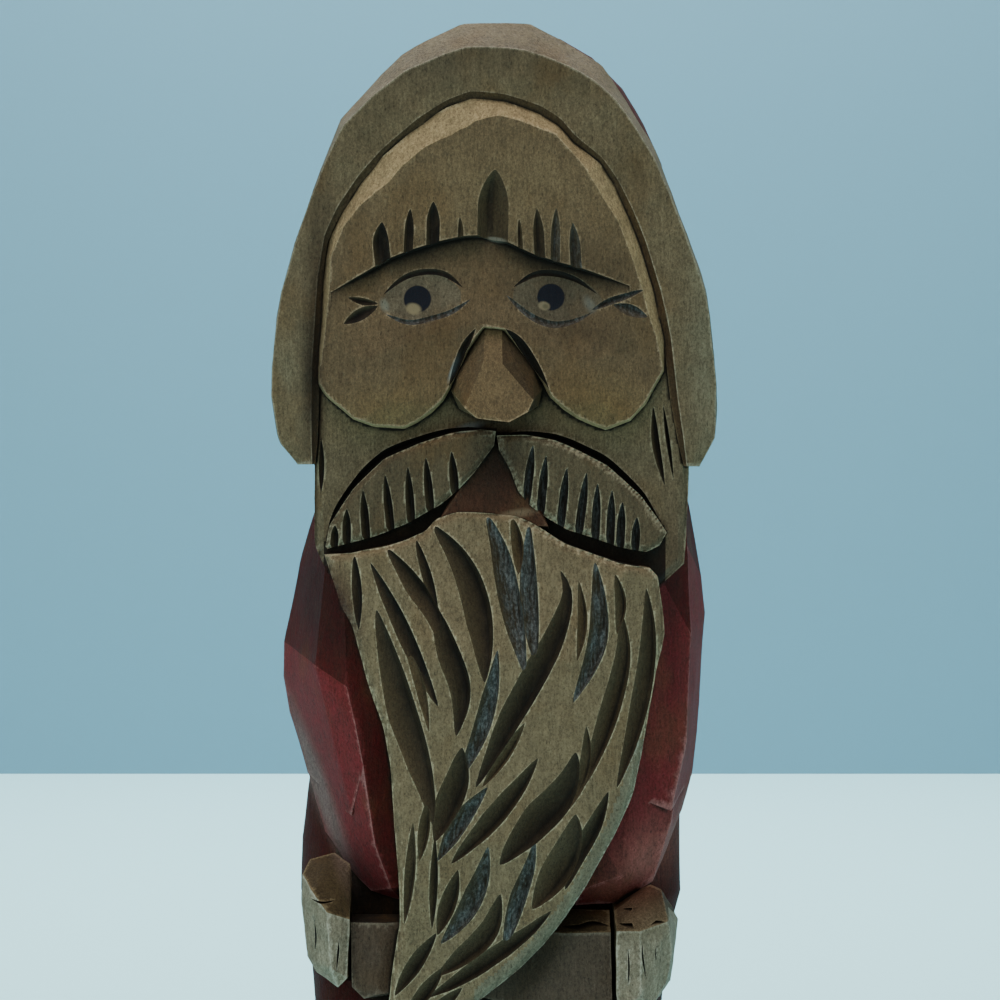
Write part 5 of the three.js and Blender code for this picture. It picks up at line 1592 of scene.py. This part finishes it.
def carvedWood():
    # Paint with grime, rubbed through on edges and high spots with a painted highlight along the
    # edges, then dark wax in hollows with painted shade in deep corners and creases, painted spots,
    # some of them painted glints, the stain of the cuts with painted shade on one wall and a painted
    # blue-grey sheen, and last the pores
    board = Board(bpy.data.materials.new("antiqued paint on carved wood"))
    place = board.node("ShaderNodeTexCoord", output="Object")
    scaled = board.node("ShaderNodeVectorMath", {"operation": "SCALE"}, {"Vector": place, "Scale": 1 / mm})

    def noise(size, detail, rough):
        # noise with so many waves a millimetre along x, y and z
        stretched = board.node("ShaderNodeMapping", {}, {"Vector": scaled, "Scale": size})
        return board.node("ShaderNodeTexNoise", {}, {
            "Vector": stretched, "Scale": 1.0, "Detail": detail, "Roughness": rough,
        })

    def spot(middle, half, turn, soft):
        # 1 inside an ellipse on the front, 0 outside
        inside = board.node("ShaderNodeMapping", {"vector_type": "TEXTURE"}, {
            "Vector": scaled, "Location": (middle[0], -30, middle[1] + drawing["base"]),
            "Rotation": (0, -math.radians(turn), 0), "Scale": (half[0], 22, half[1]),
        })
        far = board.node("ShaderNodeVectorMath", {"operation": "LENGTH"}, {"Vector": inside}, output="Value")
        return far.above(1 + soft, 1 - soft)

    paint, rubbed = (board.attribute(n, "Color") for n in finishParts[:2])
    wear, waxAndShade, gloss, cutSheen, clean = (board.attribute(n) for n in finishParts[2:])
    stainAndShade, ridge, hollow = (board.attribute(n) for n in ("stainAndShade", "ridge", "hollow"))
    deep, edge, crease = (board.attribute(n) for n in ("deep", "edge", "crease"))
    patches, mottle, speckle, fibre, grit, pores = (noise(*n) for n in noises.values())

    grimy = board.mix(0.5, paint, shade(*patina["grime"]))
    colour = board.mix((mottle * 1.5 - 0.25).clamp(), grimy, paint)
    brown = patches.above(0.5, 0.68) * waxAndShade * (0.4 - clean * 0.4)
    colour = board.mix(brown, colour, shade(*patina["patch"]))

    # rubbed colour on edges and ridges: real wear, and painted highlight along the edges
    wearAndEdgeHighlight = edge * 0.95 + ridge * 0.6 + mottle * 0.9 + speckle * 0.7 - 1.04
    rubbedAndHighlit = wearAndEdgeHighlight.above(0.0, 1.0) * wear
    colour = board.mix((rubbedAndHighlit * 0.85).clamp(), colour, rubbed)

    # dark wax in small hollows, and painted shade in deep corners and creases
    low = hollow * 0.9 + deep * 0.9 + crease * 0.8 + patches * 0.7 + mottle * 0.8 - 0.9
    colour = board.mix((low * waxAndShade).above(0.0, 1.1), colour, shade(*patina["waxAndShade"]))
    tone = (speckle * 1.3 + grit * 1.1 + fibre * 0.7 + patches * 0.3 - 1.2).clamp()
    darker, lighter = (shade(*c) for c in patina["tone"])
    colour = board.mix(0.8, colour, board.mix(tone, darker, lighter), "MULTIPLY")

    for middle, half, turn, soft, tint, share in spots:
        colour = board.mix(spot(middle, half, turn, soft) * share, colour, shade(*tint))

    # the cuts' dark: real stain, and painted shade on their right walls
    cut = (stainAndShade * (0.55 + mottle * 0.9)).clamp()
    colour = board.mix((cut ** 0.65 * (1.0 - cutSheen * 0.15)).clamp(), colour, shade(*patina["cut"]))
    # painted blue-grey sheen and glints in the cuts
    streaks = fibre.above(0.36, 0.62) * 0.6 + mottle.above(0.4, 0.7) * 0.5
    shine = (cut.above(0.2, 0.5) * streaks * cutSheen * 0.8).clamp()
    dull, bright = (shade(*c) for c in patina["cutSheen"])
    glint = board.mix(speckle.above(0.38, 0.68), dull, bright)
    colour = board.mix((shine * (1.0 - cut.above(0.9, 1.0) * 0.8)).clamp(), colour, glint)
    colour = board.mix(pores.above(0.66, 0.74) * 0.55, colour, shade(*patina["pore"]))

    bump = board.node("ShaderNodeBump", {}, {
        "Strength": patina["bump"], "Distance": patina["bumpHeight"],
        "Height": speckle * 0.8 + grit * 0.4 + fibre * 0.5 + mottle * 0.8,
    })
    surface = board.node("ShaderNodeBsdfPrincipled", {}, {
        "Base Color": colour,
        "Roughness": (patina["roughness"] - gloss * 0.35 - shine * 0.2 + mottle * 0.12).clamp(),
        "Specular IOR Level": patina["specular"],
        "Normal": bump,
    })
    board.node("ShaderNodeOutputMaterial", {}, {"Surface": surface})
    return board.material


santa = placed("carvedSanta", figureMesh())
santa.data.materials.append(carvedWood())
bpy.data.objects.remove(figure)
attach(santa, "root")
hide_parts("carved_santa")
print("figure finished:", len(santa.data.polygons), "triangles")


# Stage, light and camera

def plane(name, corners, colour, rough):
    # a flat rectangle of one colour
    mesh = bpy.data.meshes.new(name)
    mesh.from_pydata(corners, [], [(0, 1, 2, 3)])
    board = Board(bpy.data.materials.new(name))
    surface = board.node("ShaderNodeBsdfPrincipled", {}, {"Base Color": colour, "Roughness": rough})
    board.node("ShaderNodeOutputMaterial", {}, {"Surface": surface})
    mesh.materials.append(board.material)
    return placed(name, mesh)


# metres from the figure, and colours as in daylight
stage = {"left": -3.0, "right": 3.0, "before": -2.5, "behind": 1.17, "height": 3.0}
stageColours = {"floor": (196, 250, 255), "wall": (110, 152, 170)}
left, right, before, behind, height = stage.values()
ground = [(left, before, 0), (right, before, 0), (right, behind, 0), (left, behind, 0)]
upright = [(left, behind, 0), (right, behind, 0), (right, behind, height), (left, behind, height)]
floor = plane("floor", ground, shade(*stageColours["floor"]), 0.6)
wall = plane("wall", upright, shade(*stageColours["wall"]), 0.8)


def aim(thing, place, target):
    # puts a light or camera at a place and turns its -Z to the target
    thing.location = place
    thing.rotation_euler = (Vector(target) - Vector(place)).to_track_quat("-Z", "Y").to_euler()


def areaLight(name, place, target, size, power, colour):
    # a square lamp of that side in metres and that power in watts
    light = bpy.data.lights.new(name, "AREA")
    light.shape, light.size, light.energy, light.color = "SQUARE", size, power, colour
    aim(placed(name, light), place, target)


lights = [  # name, place, target, size, power, colour
    ("overhead", (-0.15, -0.35, 1.5), (0, 0, 0.2), 1.2, 16, (1.0, 0.975, 0.94)),
    ("front", (-0.6, -1.6, 0.7), (0, 0, 0.2), 1.4, 6, (1.0, 0.98, 0.955)),
    ("back", (0, 0.88, 1.2), (0, 0.88, 0), 0.8, 29, (0.9, 0.99, 1.0)),
]
for light in lights:
    areaLight(*light)
world = bpy.data.worlds.new("room")
world.use_nodes = True
sky = world.node_tree.nodes["Background"].inputs
sky["Color"].default_value, sky["Strength"].default_value = (0.7, 0.73, 0.75, 1), 0.3
bpy.context.scene.world = world

view = {"place": (1.4, -630, 225), "target": (1.4, -30, 205), "lens": 108, "sensor": 36}
camera = placed("camera", bpy.data.cameras.new("camera"))
camera.data.lens, camera.data.sensor_width = view["lens"], view["sensor"]
aim(camera, Vector(view["place"]) * mm, Vector(view["target"]) * mm)
bpy.context.scene.camera = camera
print("stage, lights and camera set")
